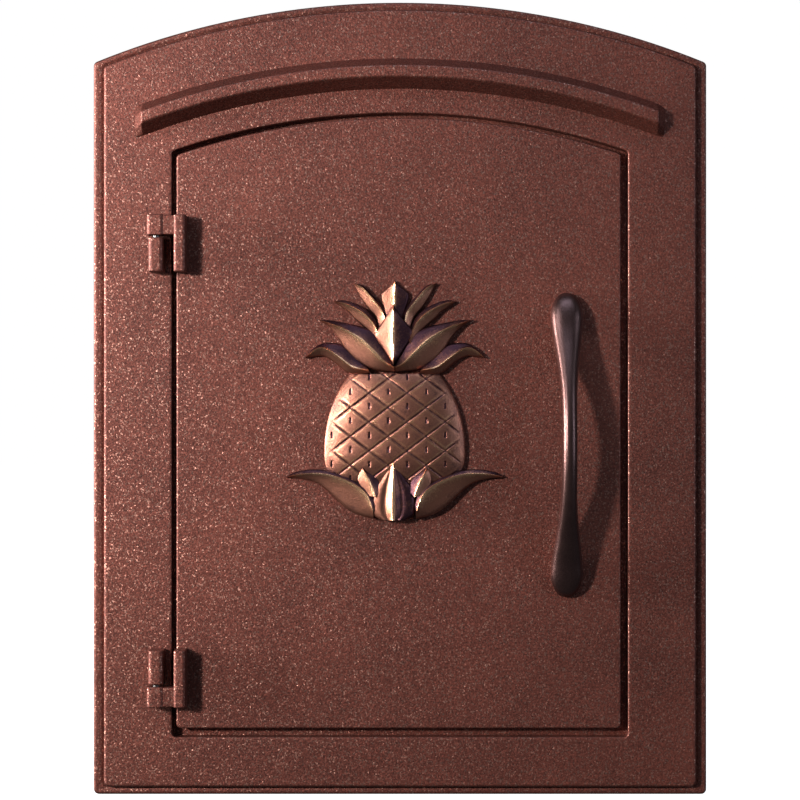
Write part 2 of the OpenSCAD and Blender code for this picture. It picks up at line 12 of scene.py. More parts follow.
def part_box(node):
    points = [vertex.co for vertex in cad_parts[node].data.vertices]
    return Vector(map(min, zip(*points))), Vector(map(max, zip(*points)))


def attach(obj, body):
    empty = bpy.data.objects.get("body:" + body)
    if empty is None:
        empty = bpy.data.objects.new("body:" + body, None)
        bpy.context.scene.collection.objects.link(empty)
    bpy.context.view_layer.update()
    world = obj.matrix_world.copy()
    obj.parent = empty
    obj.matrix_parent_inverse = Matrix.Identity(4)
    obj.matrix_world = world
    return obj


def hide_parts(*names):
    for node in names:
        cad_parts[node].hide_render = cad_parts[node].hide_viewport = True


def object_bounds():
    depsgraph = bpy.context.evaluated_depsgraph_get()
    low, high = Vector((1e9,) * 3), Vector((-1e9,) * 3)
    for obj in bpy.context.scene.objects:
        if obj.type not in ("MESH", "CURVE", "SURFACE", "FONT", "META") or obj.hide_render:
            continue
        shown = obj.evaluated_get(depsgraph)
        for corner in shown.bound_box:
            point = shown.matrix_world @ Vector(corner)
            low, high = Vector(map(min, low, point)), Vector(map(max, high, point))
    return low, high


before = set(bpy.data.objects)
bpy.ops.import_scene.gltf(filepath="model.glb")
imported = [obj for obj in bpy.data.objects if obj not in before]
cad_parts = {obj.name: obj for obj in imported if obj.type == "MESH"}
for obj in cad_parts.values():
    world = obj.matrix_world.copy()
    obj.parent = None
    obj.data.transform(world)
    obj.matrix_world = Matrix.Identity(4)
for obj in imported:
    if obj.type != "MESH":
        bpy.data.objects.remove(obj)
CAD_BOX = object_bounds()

bl_info = {
    "name": "Recessed wall mailbox",
    "version": (1, 0, 0),
    "blender": (4, 5, 0),
    "location": "3D View > Sidebar > Mailbox",
    "description": "Builds an arched cast mailbox front, its door and its sheet-steel box",
    "category": "Object",
}

MM = 0.001
HOUSING = "housing"
DOOR = "door"
HOLD = 0.0006             # gap between rings that keep a face flat beside its rounding
SMALLEST_RADIUS = 0.0003  # a rounding never gets smaller than this
SKY_COLOUR = (0.74, 0.88, 1.0, 1.0)
DOOR_CORNER = 0.0025      # corner radius of the door and of its opening
SHARP_ANGLE = 32.0        # edges that turn by more degrees than this stay sharp


# ---- sizes and colours -------------------------------------------------------

def length(name, description, default):
    """A length in metres."""
    return FloatProperty(name=name, description=description, default=default,
                         min=0.0, soft_max=1.0, precision=5, unit="LENGTH")


def share(name, description, default):
    """A plain number."""
    return FloatProperty(name=name, description=description, default=default, precision=3)


def tint(name, description, default):
    """A linear colour."""
    return FloatVectorProperty(name=name, description=description, default=default,
                               size=3, min=0.0, max=1.0, subtype="COLOR")


class MailboxFrontSizes(PropertyGroup):
    """Sizes of the cast faceplate and the door."""
    arch_radius: length("Arch radius", "Radius of the faceplate's top edge", 0.470)
    corner_radius: length("Corner radius", "Radius of the faceplate's corners", 0.003)
    border_height: length("Border height", "How far the border stands out from the wall", 0.0045)
    border_width: length("Border width", "Width of the border at the sides", 0.0066)
    border_end: length("Border end", "Width of the border at the top and bottom", 0.0050)
    edge_radius: length("Edge radius", "Rounding of the cast edges", 0.0015)
    rim_width: length("Rim width", "Solid rim round the pocket in the back", 0.012)
    pocket_depth: length("Pocket depth", "Depth of the pocket in the back", 0.0045)
    opening_half_width: length("Opening half width", "Half the width of the door opening", 0.132)
    opening_bottom: length("Opening bottom", "Height of the opening's bottom edge", 0.034)
    opening_top: length("Opening top", "Height of the opening at its crown", 0.395)
    lip_front: length("Lip set back", "How far the stop lip lies in front of the wall", 0.001)
    mouth_half_width: length("Mouth half width", "Half the width inside the stop lip", 0.120)
    mouth_bottom: length("Mouth bottom", "Height of the mouth's bottom edge", 0.046)
    mouth_top: length("Mouth top", "Height of the mouth's top edge", 0.356)
    surround_width: length("Surround width", "Width of the surround that carries the box", 0.020)
    hood_half_length: length("Hood half length", "Half the length of the rain hood", 0.1533)
    hood_draft: length("Hood draft", "How much shorter the hood's front is at each end", 0.0046)
    hood_low: length("Hood underside", "Height of the hood's underside at its crown", 0.409)
    hood_high: length("Hood top", "Height of the hood's top at its crown", 0.4263)
    hood_out: length("Hood projection", "How far the hood stands out", 0.010)


class MailboxHandleSizes(PropertyGroup):
    """Sizes of the bow handle."""
    bow_height: length("Bow height", "Height of the centre line at the middle", 0.0265)
    foot_width: length("Foot width", "Width of the feet", 0.0192)
    grip_width: length("Grip width", "Width of the grip at the middle", 0.0086)
    foot_height: length("Foot height", "Height of the centre line over the feet", 0.004)
    foot_share: share("Foot share", "Where the feet begin, as a share of half the length", 0.8)


class MailboxEmblemSizes(PropertyGroup):
    """Sizes of the relief pineapple."""
    fruit_bottom: length("Fruit bottom", "Height of the fruit's lowest row", 0.013)
    fruit_top: length("Fruit top", "Height of the fruit's top edge", 0.0845)
    fruit_half_width: length("Fruit half width", "Half the width at its widest", 0.0408)
    fruit_relief: length("Fruit relief", "Height of the dome", 0.0087)
    cell_width: length("Cell width", "Width of one scale of the fruit", 0.0218)
    cell_height: length("Cell height", "Height of one scale of the fruit", 0.01665)
    groove_depth: length("Groove depth", "Depth of the grooves between scales", 0.0004)
    groove_width: length("Groove width", "Width of the grooves between scales", 0.0010)


class MailboxColours(PropertyGroup):
    """Linear colours of the finishes."""
    coat: tint("Powder coat", "Copper-brown textured coat", (0.205, 0.053, 0.034))
    coat_dark: tint("Powder coat, dark", "Its darker mottling", (0.060, 0.015, 0.010))
    flake: tint("Flakes", "Metallic flakes in the coat", (0.75, 0.44, 0.34))
    handle: tint("Handle coat", "Smooth satin coat on the handle", (0.165, 0.088, 0.080))
    copper: tint("Antique copper", "Body colour of the emblem", (0.38, 0.155, 0.100))
    # this colour stands for patina and also paints shade: it fills sheltered places, the walls and
    # the upper leaf flanks
    copper_dark: tint("Antique copper, dark", "Dark patina in the hollows", (0.055, 0.022, 0.030))
    # this colour gives the rubbed ridges and also painted light on the lower leaf flanks
    copper_rubbed: tint("Antique copper, rubbed", "Bright rubbed ridges", (1.0, 0.56, 0.31))
    galvanised: tint("Galvanised sheet", "Zinc on the mail box", (0.56, 0.58, 0.60))
    zinc: tint("Zinc plate", "Plating on the fasteners", (0.62, 0.62, 0.60))
    stainless: tint("Stainless steel", "Hinge pins and plates", (0.16, 0.155, 0.15))


class MailboxStageSizes(PropertyGroup):
    """Camera, lamps and floor."""
    camera_distance: length("Camera distance", "From the camera to the faceplate's front", 1.15)
    view_width: length("View width", "Width that the view spans at the faceplate's front", 0.4627)
    view_height: length("View height", "Height of the camera", 0.2290)
    key_power: share("Key power", "Power of the key lamp in watts", 22.5)
    sheen_power: share("Sheen power", "Power of the lamp that only gives gloss, in watts", 5.0)
    edge_power: share("Edge power", "Power of the gloss lamp far to the left, in watts", 110.0)
    top_power: share("Top power", "Power of the cool lamp overhead in watts", 5.0)
    side_power: share("Side power", "Power of the cool lamp on the right in watts", 5.0)
    back_power: share("Back power", "Power of the lamp behind the wall in watts", 7.0)
    sky: share("Sky", "Brightness of the surroundings", 0.055)


# ---- mesh helpers ------------------------------------------------------------

def link(mesh_object):
    """Puts an object in the scene and returns it."""
    bpy.context.scene.collection.objects.link(mesh_object)
    return mesh_object


def smooth_by_angle(mesh, degrees=SHARP_ANGLE):
    """Smooth faces, with sharp edges where the surface turns by more than the angle."""
    bm = bmesh.new()
    bm.from_mesh(mesh)
    limit = math.radians(degrees)
    for face in bm.faces:
        face.smooth = True
    for edge in bm.edges:
        edge.smooth = len(edge.link_faces) == 2 and edge.calc_face_angle(0.0) < limit
    bm.to_mesh(mesh)
    bm.free()


def object_from(name, bm, degrees=SHARP_ANGLE):
    """A linked object from a bmesh, with its faces turned outwards."""
    bmesh.ops.recalc_face_normals(bm, faces=bm.faces)
    mesh = bpy.data.meshes.new(name)
    bm.to_mesh(mesh)
    bm.free()
    smooth_by_angle(mesh, degrees)
    return link(bpy.data.objects.new(name, mesh))


def corners(node):
    """The lowest and the highest corner of a CAD node."""
    return [Vector(corner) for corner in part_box(node)]


def evaluated_mesh(piece):
    """A new mesh with the piece's modifiers applied."""
    graph = bpy.context.evaluated_depsgraph_get()
    return bpy.data.meshes.new_from_object(piece.evaluated_get(graph), depsgraph=graph)


def apply_modifiers(piece):
    """Swaps a piece's modifiers for the mesh that they give, and returns the piece."""
    mesh = evaluated_mesh(piece)
    piece.modifiers.clear()
    piece.data = mesh
    return piece


def firm(piece):
    """Keeps the shading of broad faces flat next to narrow roundings."""
    modifier = piece.modifiers.new("firm", "WEIGHTED_NORMAL")
    modifier.weight = 60
    modifier.keep_sharp = True
    return apply_modifiers(piece)


def finish_piece(piece, body, slot, node):
    """Gives a piece the finish of its slot, puts it under its body and hides the CAD node that it
    stands for.
    """
    piece.data.materials.clear()
    piece.data.materials.append(finish_for(slot))
    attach(piece, body)
    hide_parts(node)


def stack(bm, rings, closed=False):
    """Joins rings of equally many points into a skin. Returns the rings' vertices."""
    made = [[bm.verts.new(point) for point in ring] for ring in rings]
    pairs = list(zip(made, made[1:]))
    if closed:
        pairs.append((made[-1], made[0]))
    for low, high in pairs:
        for i in range(len(low)):
            j = (i + 1) % len(low)
            bm.faces.new((low[i], low[j], high[j], high[i]))
    if not closed:
        bm.faces.new(made[0])
        bm.faces.new(list(reversed(made[-1])))
    return made


def fillet(before, corner, after, radius, count):
    """Points along the rounding of a corner between two straight runs."""
    to_before = (before - corner).normalized()
    to_after = (after - corner).normalized()
    half = to_before.angle(to_after) / 2
    reach = radius / math.tan(half)
    middle = corner + (to_before + to_after).normalized() * (radius / math.sin(half))
    first = corner + to_before * reach - middle
    last = corner + to_after * reach - middle
    turn = first.angle_signed(last)
    points = []
    for i in range(count + 1):
        angle = -turn * i / count
        cos, sin = math.cos(angle), math.sin(angle)
        points.append(middle + Vector((first.x * cos - first.y * sin,
                                       first.x * sin + first.y * cos)))
    return points


class Arch:
    """An outline made of three straight sides under an arc centred on x = 0."""

    def __init__(self, left, right, bottom, top, radius, corner):
        self.left, self.right, self.bottom = left, right, bottom
        self.top, self.radius, self.corner = top, radius, corner

    def inset(self, by):
        """The same outline, moved inwards."""
        return Arch(self.left + by, self.right - by, self.bottom + by, self.top - by,
                    self.radius - by, max(self.corner - by, SMALLEST_RADIUS))

    def arc_height(self, x):
        """Height of the arc at x."""
        return self.top - self.radius + math.sqrt(self.radius ** 2 - x * x)

    def arc_point(self, x):
        """The point of the arc at x."""
        return Vector((x, self.arc_height(x)))

    def ring(self, y, corner_steps=5, side_steps=12, arc_steps=48):
        """The outline's points at one depth, always equally many."""
        chord = 0.01
        low_left, low_right = Vector((self.left, self.bottom)), Vector((self.right, self.bottom))
        high_right, high_left = self.arc_point(self.right), self.arc_point(self.left)
        runs = ((high_left, low_left, low_right), (low_left, low_right, high_right),
                (low_right, high_right, self.arc_point(self.right - chord)),
                (self.arc_point(self.left + chord), high_left, low_left))
        fillets = [fillet(*run, self.corner, corner_steps) for run in runs]
        points = []
        for k, rounded in enumerate(fillets):
            points += rounded
            start, end = rounded[-1], fillets[(k + 1) % 4][0]
            on_arc = k == 2
            steps = arc_steps if on_arc else side_steps
            for i in range(1, steps):
                point = start.lerp(end, i / steps)
                if on_arc:
                    point.y = self.arc_height(point.x)
                points.append(point)
        return [(p.x, y, p.y) for p in points]


def rings_at(*places):
    """Rings of (outline, inset, depth) places."""
    return [outline.inset(inset).ring(y) for outline, inset, y in places]


def rounding(outline, y_face, radius, steps=5, way=-1.0):
    """Rings that turn a side wall over onto its face, which looks towards -Y or +Y (way)."""
    places = []
    for i in range(steps + 1):
        a = math.pi / 2 * i / steps
        places.append((outline, radius * (1 - math.cos(a)),
                       y_face - way * radius * (1 - math.sin(a))))
    return rings_at(*places)


def welded(node):
    """A bmesh of a CAD node with its loose triangles joined."""
    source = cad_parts[node]
    bm = bmesh.new()
    bm.from_mesh(source.data)
    bm.transform(source.matrix_world)
    bmesh.ops.remove_doubles(bm, verts=bm.verts, dist=2e-6)
    return bm


def solids_of(node):
    """(lowest corner, highest corner) of each separate solid of a CAD node."""
    bm = welded(node)
    left = set(bm.verts)
    boxes = []
    while left:
        waiting, group = [left.pop()], []
        while waiting:
            vert = waiting.pop()
            group.append(vert.co.copy())
            for edge in vert.link_edges:
                other = edge.other_vert(vert)
                if other in left:
                    left.remove(other)
                    waiting.append(other)
        boxes.append(tuple(Vector([pick(p[i] for p in group) for i in range(3)])
                           for pick in (min, max)))
    bm.free()
    return sorted(boxes, key=lambda b: (round(b[0].z, 5), round(b[0].x, 5), round(b[0].y, 5)))


def softened_copy(node, name, radius):
    """A copy of a CAD node with its hard edges rounded."""
    flat, hard_angle = math.radians(0.6), math.radians(35)
    bm = welded(node)
    bmesh.ops.dissolve_limit(bm, angle_limit=flat, verts=bm.verts, edges=bm.edges)
    hard = [e for e in bm.edges
            if len(e.link_faces) == 2 and e.calc_face_angle(0.0) > hard_angle]
    bmesh.ops.bevel(bm, geom=hard, offset=radius, offset_type="OFFSET", segments=3,
                    profile=0.5, affect="EDGES", clamp_overlap=True)
    return firm(object_from(name, bm, 38.0))


def upright_block(name, x0, x1, y0, y1, z0, z1, front, back=0.0006, end=0.0007):
    """A cast block: big roundings on its two front edges, small ones elsewhere."""
    def ring(inset, z):
        spots = [Vector((x0 + inset, y1 - inset)), Vector((x0 + inset, y0 + inset)),
                 Vector((x1 - inset, y0 + inset)), Vector((x1 - inset, y1 - inset))]
        points = []
        for k, radius in enumerate((back, front, front, back)):
            points += fillet(spots[k - 1], spots[k], spots[(k + 1) % 4],
                             max(radius - inset, SMALLEST_RADIUS), 6)
        return [(p.x, p.y, z) for p in points]

    turn = [(end * (1 - math.sin(a)), end * (1 - math.cos(a)))
            for a in (math.pi / 2 * i / 4 for i in range(5))]
    rings = [ring(inset, z0 + up) for inset, up in turn]
    rings += [ring(inset, z1 - up) for inset, up in reversed(turn)]
    bm = bmesh.new()
    stack(bm, rings)
    return object_from(name, bm)


# ---- node trees --------------------------------------------------------------

def feed(tree, socket, value):
    """Links a field or an output to a socket, or sets a plain value on it."""
    if isinstance(value, Field):
        value = value.socket
    if hasattr(value, "is_linked"):
        tree.links.new(value, socket)
    else:
        socket.default_value = value


class Field:
    """A number in a node tree that can be used in a plain formula."""

    def __init__(self, tree, socket):
        self.tree, self.socket = tree, socket

    def into(self, kind, *values):
        """A new node, fed with this field and the values that follow it."""
        node = self.tree.nodes.new(kind)
        for socket, value in zip(node.inputs, (self, *values)):
            feed(self.tree, socket, value)
        return node

    def do(self, operation, *others):
        """A new field from a Math node."""
        node = self.into("ShaderNodeMath", *others)
        node.operation = operation
        return Field(self.tree, node.outputs[0])

    def __add__(self, other): return self.do("ADD", other)
    def __sub__(self, other): return self.do("SUBTRACT", other)
    def __mul__(self, other): return self.do("MULTIPLY", other)
    def __truediv__(self, other): return self.do("DIVIDE", other)
    def __pow__(self, other): return self.do("POWER", other)
    def __radd__(self, other): return self + other
    def __rmul__(self, other): return self * other
    def __rsub__(self, other): return self * -1.0 + other
    def __neg__(self): return self * -1.0
    def sin(self): return self.do("SINE")
    def cos(self): return self.do("COSINE")
    def root(self): return self.do("SQRT")
    def size(self): return self.do("ABSOLUTE")
    def fraction(self): return self.do("FRACT")
    def at_least(self, other): return self.do("MAXIMUM", other)

    def step(self, low, high):
        """Rises smoothly from 0 at low to 1 at high."""
        node = self.into("ShaderNodeMapRange", low, high, 0.0, 1.0)
        node.interpolation_type = "SMOOTHSTEP"
        return Field(self.tree, node.outputs[0])


class NodeMaker:
    """Something that adds nodes to a tree of its own."""

    def add(self, kind, *values, operation=None, **inputs):
        """A node, fed in order or by name; underscores in a name stand for spaces."""
        node = self.tree.nodes.new(kind)
        if operation is not None:
            node.operation = operation
        for socket, value in zip(node.inputs, values):
            feed(self.tree, socket, value)
        for name, value in inputs.items():
            feed(self.tree, node.inputs[name.replace("_", " ")], value)
        return node


# ---- finishes ----------------------------------------------------------------

class Finish(NodeMaker):
    """A Principled material read from Object coordinates."""

    def __init__(self, name, metallic=0.0, roughness=0.5):
        self.material = bpy.data.materials.new(name)
        self.material.use_nodes = True
        self.tree = self.material.node_tree
        self.shader = self.tree.nodes["Principled BSDF"]
        self.set(Metallic=metallic, Roughness=roughness)
        self.place = self.add("ShaderNodeTexCoord").outputs["Object"]

    def set(self, **values):
        """Feeds inputs of the shader; underscores stand for spaces."""
        for name, value in values.items():
            feed(self.tree, self.shader.inputs[name.replace("_", " ")], value)

    def noise(self, scale, detail=2.0, roughness=0.5, stretch=None):
        """A noise field; scale is in cycles per metre, and stretch scales each axis."""
        place = self.place
        if stretch is not None:
            place = self.add("ShaderNodeMapping", Vector=place, Scale=stretch).outputs["Vector"]
        node = self.add("ShaderNodeTexNoise", Scale=scale, Detail=detail, Roughness=roughness,
                        Vector=place)
        return Field(self.tree, node.outputs["Fac"])

    def cells(self, scale):
        """(random colour, its three numbers) of each cell of a Voronoi pattern."""
        node = self.add("ShaderNodeTexVoronoi", Scale=scale, Vector=self.place)
        split = self.add("ShaderNodeSeparateColor", node.outputs["Color"])
        return node.outputs["Color"], [Field(self.tree, part) for part in split.outputs]

    def tilt(self, colour, amount):
        """Leans each cell's shading normal by its random colour."""
        normal = self.shader.inputs["Normal"].links[0].from_socket
        centred = self.add("ShaderNodeVectorMath", colour, [amount] * 3, [-amount / 2] * 3,
                           operation="MULTIPLY_ADD")
        leaning = self.add("ShaderNodeVectorMath", normal, centred.outputs[0], operation="ADD")
        unit = self.add("ShaderNodeVectorMath", leaning.outputs[0], operation="NORMALIZE")
        self.set(Normal=unit.outputs[0])

    def attribute(self, name):
        """A number stored on the piece's points."""
        node = self.add("ShaderNodeAttribute")
        node.attribute_name = name
        return Field(self.tree, node.outputs["Fac"])

    def mix(self, factor, a, b):
        """A colour between a and b; each is a colour or a colour output."""
        node = self.add("ShaderNodeMix")
        node.data_type = "RGBA"
        feed(self.tree, node.inputs[0], factor)
        for socket, value in ((node.inputs[6], a), (node.inputs[7], b)):
            feed(self.tree, socket, value if hasattr(value, "is_linked") else (*value, 1.0))
        return node.outputs[2]

    def bump(self, height, distance):
        """Bends the shading by a height field; distance is in metres."""
        node = self.add("ShaderNodeBump", Strength=1.0, Distance=distance, Height=height)
        self.set(Normal=node.outputs["Normal"])


def toned(colour, by):
    """A colour made darker or lighter."""
    return tuple(min(1.0, by * c) for c in colour)


def powder_coat(colours):
    """Copper-brown wrinkle coat: orange peel, mottling and tilted metallic flakes."""
    finish = Finish("copper_brown_powder_coat")
    wrinkle = finish.noise(900.0, roughness=0.55)
    grain = finish.noise(1900.0, roughness=0.6)
    cloud = finish.noise(9.0, detail=4.0, roughness=0.6)
    flake_colour, (_, _, pick) = finish.cells(1350.0)
    mottle = ((wrinkle - 0.5) * 1.6 + (grain - 0.5) * 1.2
              + (cloud - 0.5) * 0.8 + 0.55).step(0.0, 1.0)
    body = finish.mix(mottle, colours.coat_dark, colours.coat)
    flake = pick.step(0.78, 0.97)
    finish.set(Base_Color=finish.mix(flake * 0.28, body, colours.flake),
               Roughness=0.55 - flake * 0.18 + (grain - 0.5) * 0.14,
               Metallic=0.74 + flake * 0.2,
               Coat_Weight=0.25, Coat_Roughness=0.42)
    finish.bump(wrinkle * 0.7 + grain * 0.3, 0.00028)
    finish.tilt(flake_colour, 0.18)
    return finish.material


def handle_coat(colours):
    """The same coat, darker and rubbed smooth by hands."""
    finish = Finish("satin_handle_coat")
    grain = finish.noise(1500.0, detail=3.0)
    cloud = finish.noise(30.0, detail=3.0)
    finish.set(Base_Color=finish.mix((grain - 0.5) * 1.2 + cloud,
                                     toned(colours.handle, 0.5), colours.handle),
               Roughness=0.31 + (grain - 0.5) * 0.12 + (cloud - 0.5) * 0.1,
               Metallic=0.92)
    finish.bump(grain, 0.00010)
    return finish.material


def antique_copper(colours):
    """Cast copper finish: dark patina in the hollows, rubbed bright on the ridges, and painted
    light and shade from the mark it reads: lighter lower leaf flanks, darker upper flanks, dark
    walls and painted shade in sheltered places.
    """
    finish = Finish("antique_copper")
    wear_and_painted_light = finish.attribute("wear_and_painted_light")
    speckle = finish.noise(1100.0, detail=4.0, roughness=0.7)
    smear = finish.noise(120.0, detail=4.0, roughness=0.65)
    # the mark holds painted light and shade as well as wear: a low mark gives the dark colour, a
    # high one the bright colour
    tone_mark = wear_and_painted_light + (speckle - 0.5) * 0.70 + (smear - 0.5) * 0.55
    body = finish.mix(tone_mark.step(0.05, 0.55), colours.copper_dark, colours.copper)
    finish.set(Base_Color=finish.mix(tone_mark.step(0.60, 1.05), body, colours.copper_rubbed),
               Roughness=0.38 - tone_mark.step(0.3, 1.0) * 0.12,
               Metallic=0.94)
    finish.bump(speckle * 0.7 + smear * 0.3, 0.00022)
    return finish.material


def galvanised(colours):
    """Galvanised sheet with a soft spangle."""
    finish = Finish("galvanised_sheet", metallic=1.0)
    _, (pick, _, _) = finish.cells(95.0)
    streak = finish.noise(40.0, detail=4.0, stretch=(1.0, 0.12, 1.0))
    finish.set(Base_Color=finish.mix(pick * 0.6 + streak * 0.4,
                                     toned(colours.galvanised, 0.72), colours.galvanised),
               Roughness=0.34 + pick * 0.2)
    finish.bump(pick * 0.4 + finish.noise(300.0) * 0.6, 0.00008)
    return finish.material


def plated(name, colour, roughness):
    """Plated or ground steel with fine scratches."""
    finish = Finish(name, metallic=1.0)
    scratch = finish.noise(900.0, detail=3.0, stretch=(1.0, 1.0, 0.12))
    stain = finish.noise(160.0, detail=3.0)
    finish.set(Base_Color=finish.mix(stain * 0.6 + scratch * 0.4, toned(colour, 0.68), colour),
               Roughness=roughness + (scratch - 0.5) * 0.2)
    finish.bump(scratch, 0.00004)
    return finish.material


def moulded(name, grey, roughness, grain_scale, grain_depth, blue=0.0):
    """Moulded plastic, rubber or pressed ferrite with a fine grain."""
    finish = Finish(name)
    colour = (grey, grey, grey + blue)
    grain = finish.noise(grain_scale, detail=3.0)
    finish.set(Base_Color=finish.mix(finish.noise(60.0), colour, toned(colour, 1.8)),
               Roughness=roughness + (grain - 0.5) * 0.2)
    finish.bump(grain, grain_depth)
    return finish.material


# each makes the material of one record slot from the colours of the scene
FINISHES = {
    "powder_coat": powder_coat,
    "handle_coat": handle_coat,
    "rubbed_copper": antique_copper,
    "galvanised_sheet": galvanised,
    "zinc_fasteners": lambda colours: plated("zinc_plate", colours.zinc, 0.3),
    "pin_steel": lambda colours: plated("ground_stainless", colours.stainless, 0.40),
    "catch_plastic": lambda _: moulded("black_plastic", 0.012, 0.45, 1800.0, 0.00006, 0.001),
    "ferrite": lambda _: moulded("ferrite", 0.030, 0.6, 2200.0, 0.0001, 0.002),
    "black_rubber": lambda _: moulded("black_rubber", 0.010, 0.7, 1500.0, 0.0001),
}
made_finishes = {}
made_trees = {}


def finish_for(slot):
    """The material of a record slot, made once."""
    if slot not in made_finishes:
        made_finishes[slot] = FINISHES[slot](bpy.context.scene.mailbox_colours)
    return made_finishes[slot]


# ---- geometry node helpers ---------------------------------------------------

class Tree(NodeMaker):
    """A geometry node tree with named inputs."""

    def __init__(self, name, **inputs):
        self.tree = bpy.data.node_groups.new(name, "GeometryNodeTree")
        face = self.tree.interface
        face.new_socket("Geometry", in_out="OUTPUT", socket_type="NodeSocketGeometry")
        self.sockets = {"Geometry": face.new_socket("Geometry", in_out="INPUT",
                                                    socket_type="NodeSocketGeometry")}
        for key, value in inputs.items():
            kind = "NodeSocketMaterial" if value is None else "NodeSocketFloat"
            label = key.replace("_", " ").capitalize()
            self.sockets[key] = face.new_socket(label, in_out="INPUT", socket_type=kind)
            if value is not None:
                self.sockets[key].default_value = value
        self.inside = self.add("NodeGroupInput")

    def input(self, key):
        """The field, geometry or material of one named input."""
        return Field(self.tree, self.inside.outputs[list(self.sockets).index(key)])

    def position(self):
        """The x and y of each point of the geometry, as fields."""
        spot = self.add("ShaderNodeSeparateXYZ", self.add("GeometryNodeInputPosition").outputs[0])
        return Field(self.tree, spot.outputs[0]), Field(self.tree, spot.outputs[1])

    def close(self, geometry):
        """Realizes instances, sets the material and ends the tree."""
        real = self.add("GeometryNodeRealizeInstances", Geometry=geometry)
        painted = self.add("GeometryNodeSetMaterial", Geometry=real.outputs[0],
                           Material=self.input("material"))
        self.add("NodeGroupOutput", painted.outputs[0])

    def bake(self, name, carrier, values):
        """Evaluates the tree on a carrier mesh and returns the result as a plain object."""
        host = link(bpy.data.objects.new(name + "_points", carrier))
        modifier = host.modifiers.new(name, "NODES")
        modifier.node_group = self.tree
        for key, value in values.items():
            modifier[self.sockets[key].identifier] = value
        mesh = evaluated_mesh(host)
        mesh.name = name
        host.modifiers.remove(modifier)
        bpy.data.objects.remove(host)
        if not mesh.polygons:
            raise RuntimeError("the tree of " + name + " made nothing")
        return link(bpy.data.objects.new(name, mesh))


def fastener_tree():
    """A domed or flat head with an optional cross recess, on a shank, at each point."""
    t = Tree("fastener", head_radius=0.003, head_height=0.002, roundness=0.6,
             shank_radius=0.0015, shank_length=0.008, recess=0.0006, material=None)
    radius, height = t.input("head_radius"), t.input("head_height")
    sheet = t.add("GeometryNodeMeshGrid", Size_X=1.0, Size_Y=1.0, Vertices_X=41, Vertices_Y=25)
    around, up = t.position()
    turn, rise = (around + 0.5) * (2 * math.pi), (up + 0.5) * (math.pi / 2)
    reach = radius * (rise.sin().at_least(0.0) ** t.input("roundness"))
    top = height * (rise.cos().at_least(0.0) ** t.input("roundness"))
    x, y = reach * turn.cos(), reach * turn.sin()
    arm, half, soft = radius * 0.56, radius * 0.15, radius * 0.07

    def bar(narrow, wide):
        """One arm of the cross: 1 inside it, 0 outside."""
        return ((1.0 - (narrow.size() - half).step(0.0, soft))
                * (1.0 - (wide.size() - arm).step(0.0, soft)))

    dip = bar(x, y).at_least(bar(y, x)) * t.input("recess")
    place = t.add("ShaderNodeCombineXYZ", X=x, Y=y, Z=top - dip)
    head = t.add("GeometryNodeSetPosition", Geometry=sheet.outputs[0], Position=place.outputs[0])
    shank = t.add("GeometryNodeMeshCylinder", Vertices=20, Radius=t.input("shank_radius"),
                  Depth=t.input("shank_length"))
    down = t.add("ShaderNodeCombineXYZ", Z=t.input("shank_length") * -0.5)
    lowered = t.add("GeometryNodeTransform", Geometry=shank.outputs[0],
                    Translation=down.outputs[0])
    under = t.add("GeometryNodeMeshCircle", Vertices=40, Radius=radius)
    under.fill_type = "NGON"
    flipped = t.add("GeometryNodeFlipFaces", Mesh=under.outputs[0])
    joined = t.add("GeometryNodeJoinGeometry")
    for part in (head, lowered, flipped):
        feed(t.tree, joined.inputs[0], part.outputs[0])
    closed = t.add("GeometryNodeMergeByDistance", Geometry=joined.outputs[0], Distance=2e-5)
    axis = t.add("GeometryNodeInputNamedAttribute", Name="axis")
    axis.data_type = "FLOAT_VECTOR"
    turned = t.add("FunctionNodeAlignRotationToVector", Vector=axis.outputs[0])
    turned.axis = "Z"
    placed = t.add("GeometryNodeInstanceOnPoints", Points=t.input("Geometry"),
                   Instance=closed.outputs[0], Rotation=turned.outputs[0])
    t.close(placed.outputs[0])
    return t


def points_mesh(name, places):
    """A mesh of loose points, each with the direction that its head faces."""
    mesh = bpy.data.meshes.new(name)
    mesh.from_pydata([tuple(point) for point, _ in places], [], [])
    store = mesh.attributes.new("axis", "FLOAT_VECTOR", "POINT")
    for i, (_, axis) in enumerate(places):
        store.data[i].vector = axis
    return mesh


def fasteners(name, node, body, axis_of, head_radius, head_height, shank_radius, roundness,
              recess=0.0):
    """Screws or rivets that take the places and lengths of a CAD node's solids."""
    if "fastener" not in made_trees:
        made_trees["fastener"] = fastener_tree()
    groups = {}
    for low, high in solids_of(node):
        axis = Vector(axis_of(low, high))
        whole = abs((high - low).dot(axis))
        seat = (low + high) / 2 + axis * (whole / 2 - head_height)
        groups.setdefault(round(whole, 5), []).append((seat, axis))
    bm = bmesh.new()
    for whole, places in groups.items():
        made = made_trees["fastener"].bake(name, points_mesh(name, places), {
            "head_radius": head_radius, "head_height": head_height, "roundness": roundness,
            "shank_radius": shank_radius, "shank_length": whole - head_height,
            "recess": recess, "material": finish_for("zinc_fasteners")})
        bm.from_mesh(made.data)
        bpy.data.objects.remove(made)
    finish_piece(object_from(name, bm, 35.0), body, "zinc_fasteners", node)


# ---- faceplate and door ------------------------------------------------------

def combine(target, operation, others):
    """Joins closed pieces into one skin, or cuts them out of it."""
    for other in others:
        modifier = target.modifiers.new("join", "BOOLEAN")
        modifier.operation = operation
        modifier.solver = "EXACT"
        modifier.object = other
    apply_modifiers(target)
    for other in others:
        bpy.data.objects.remove(other)
    smooth_by_angle(target.data)


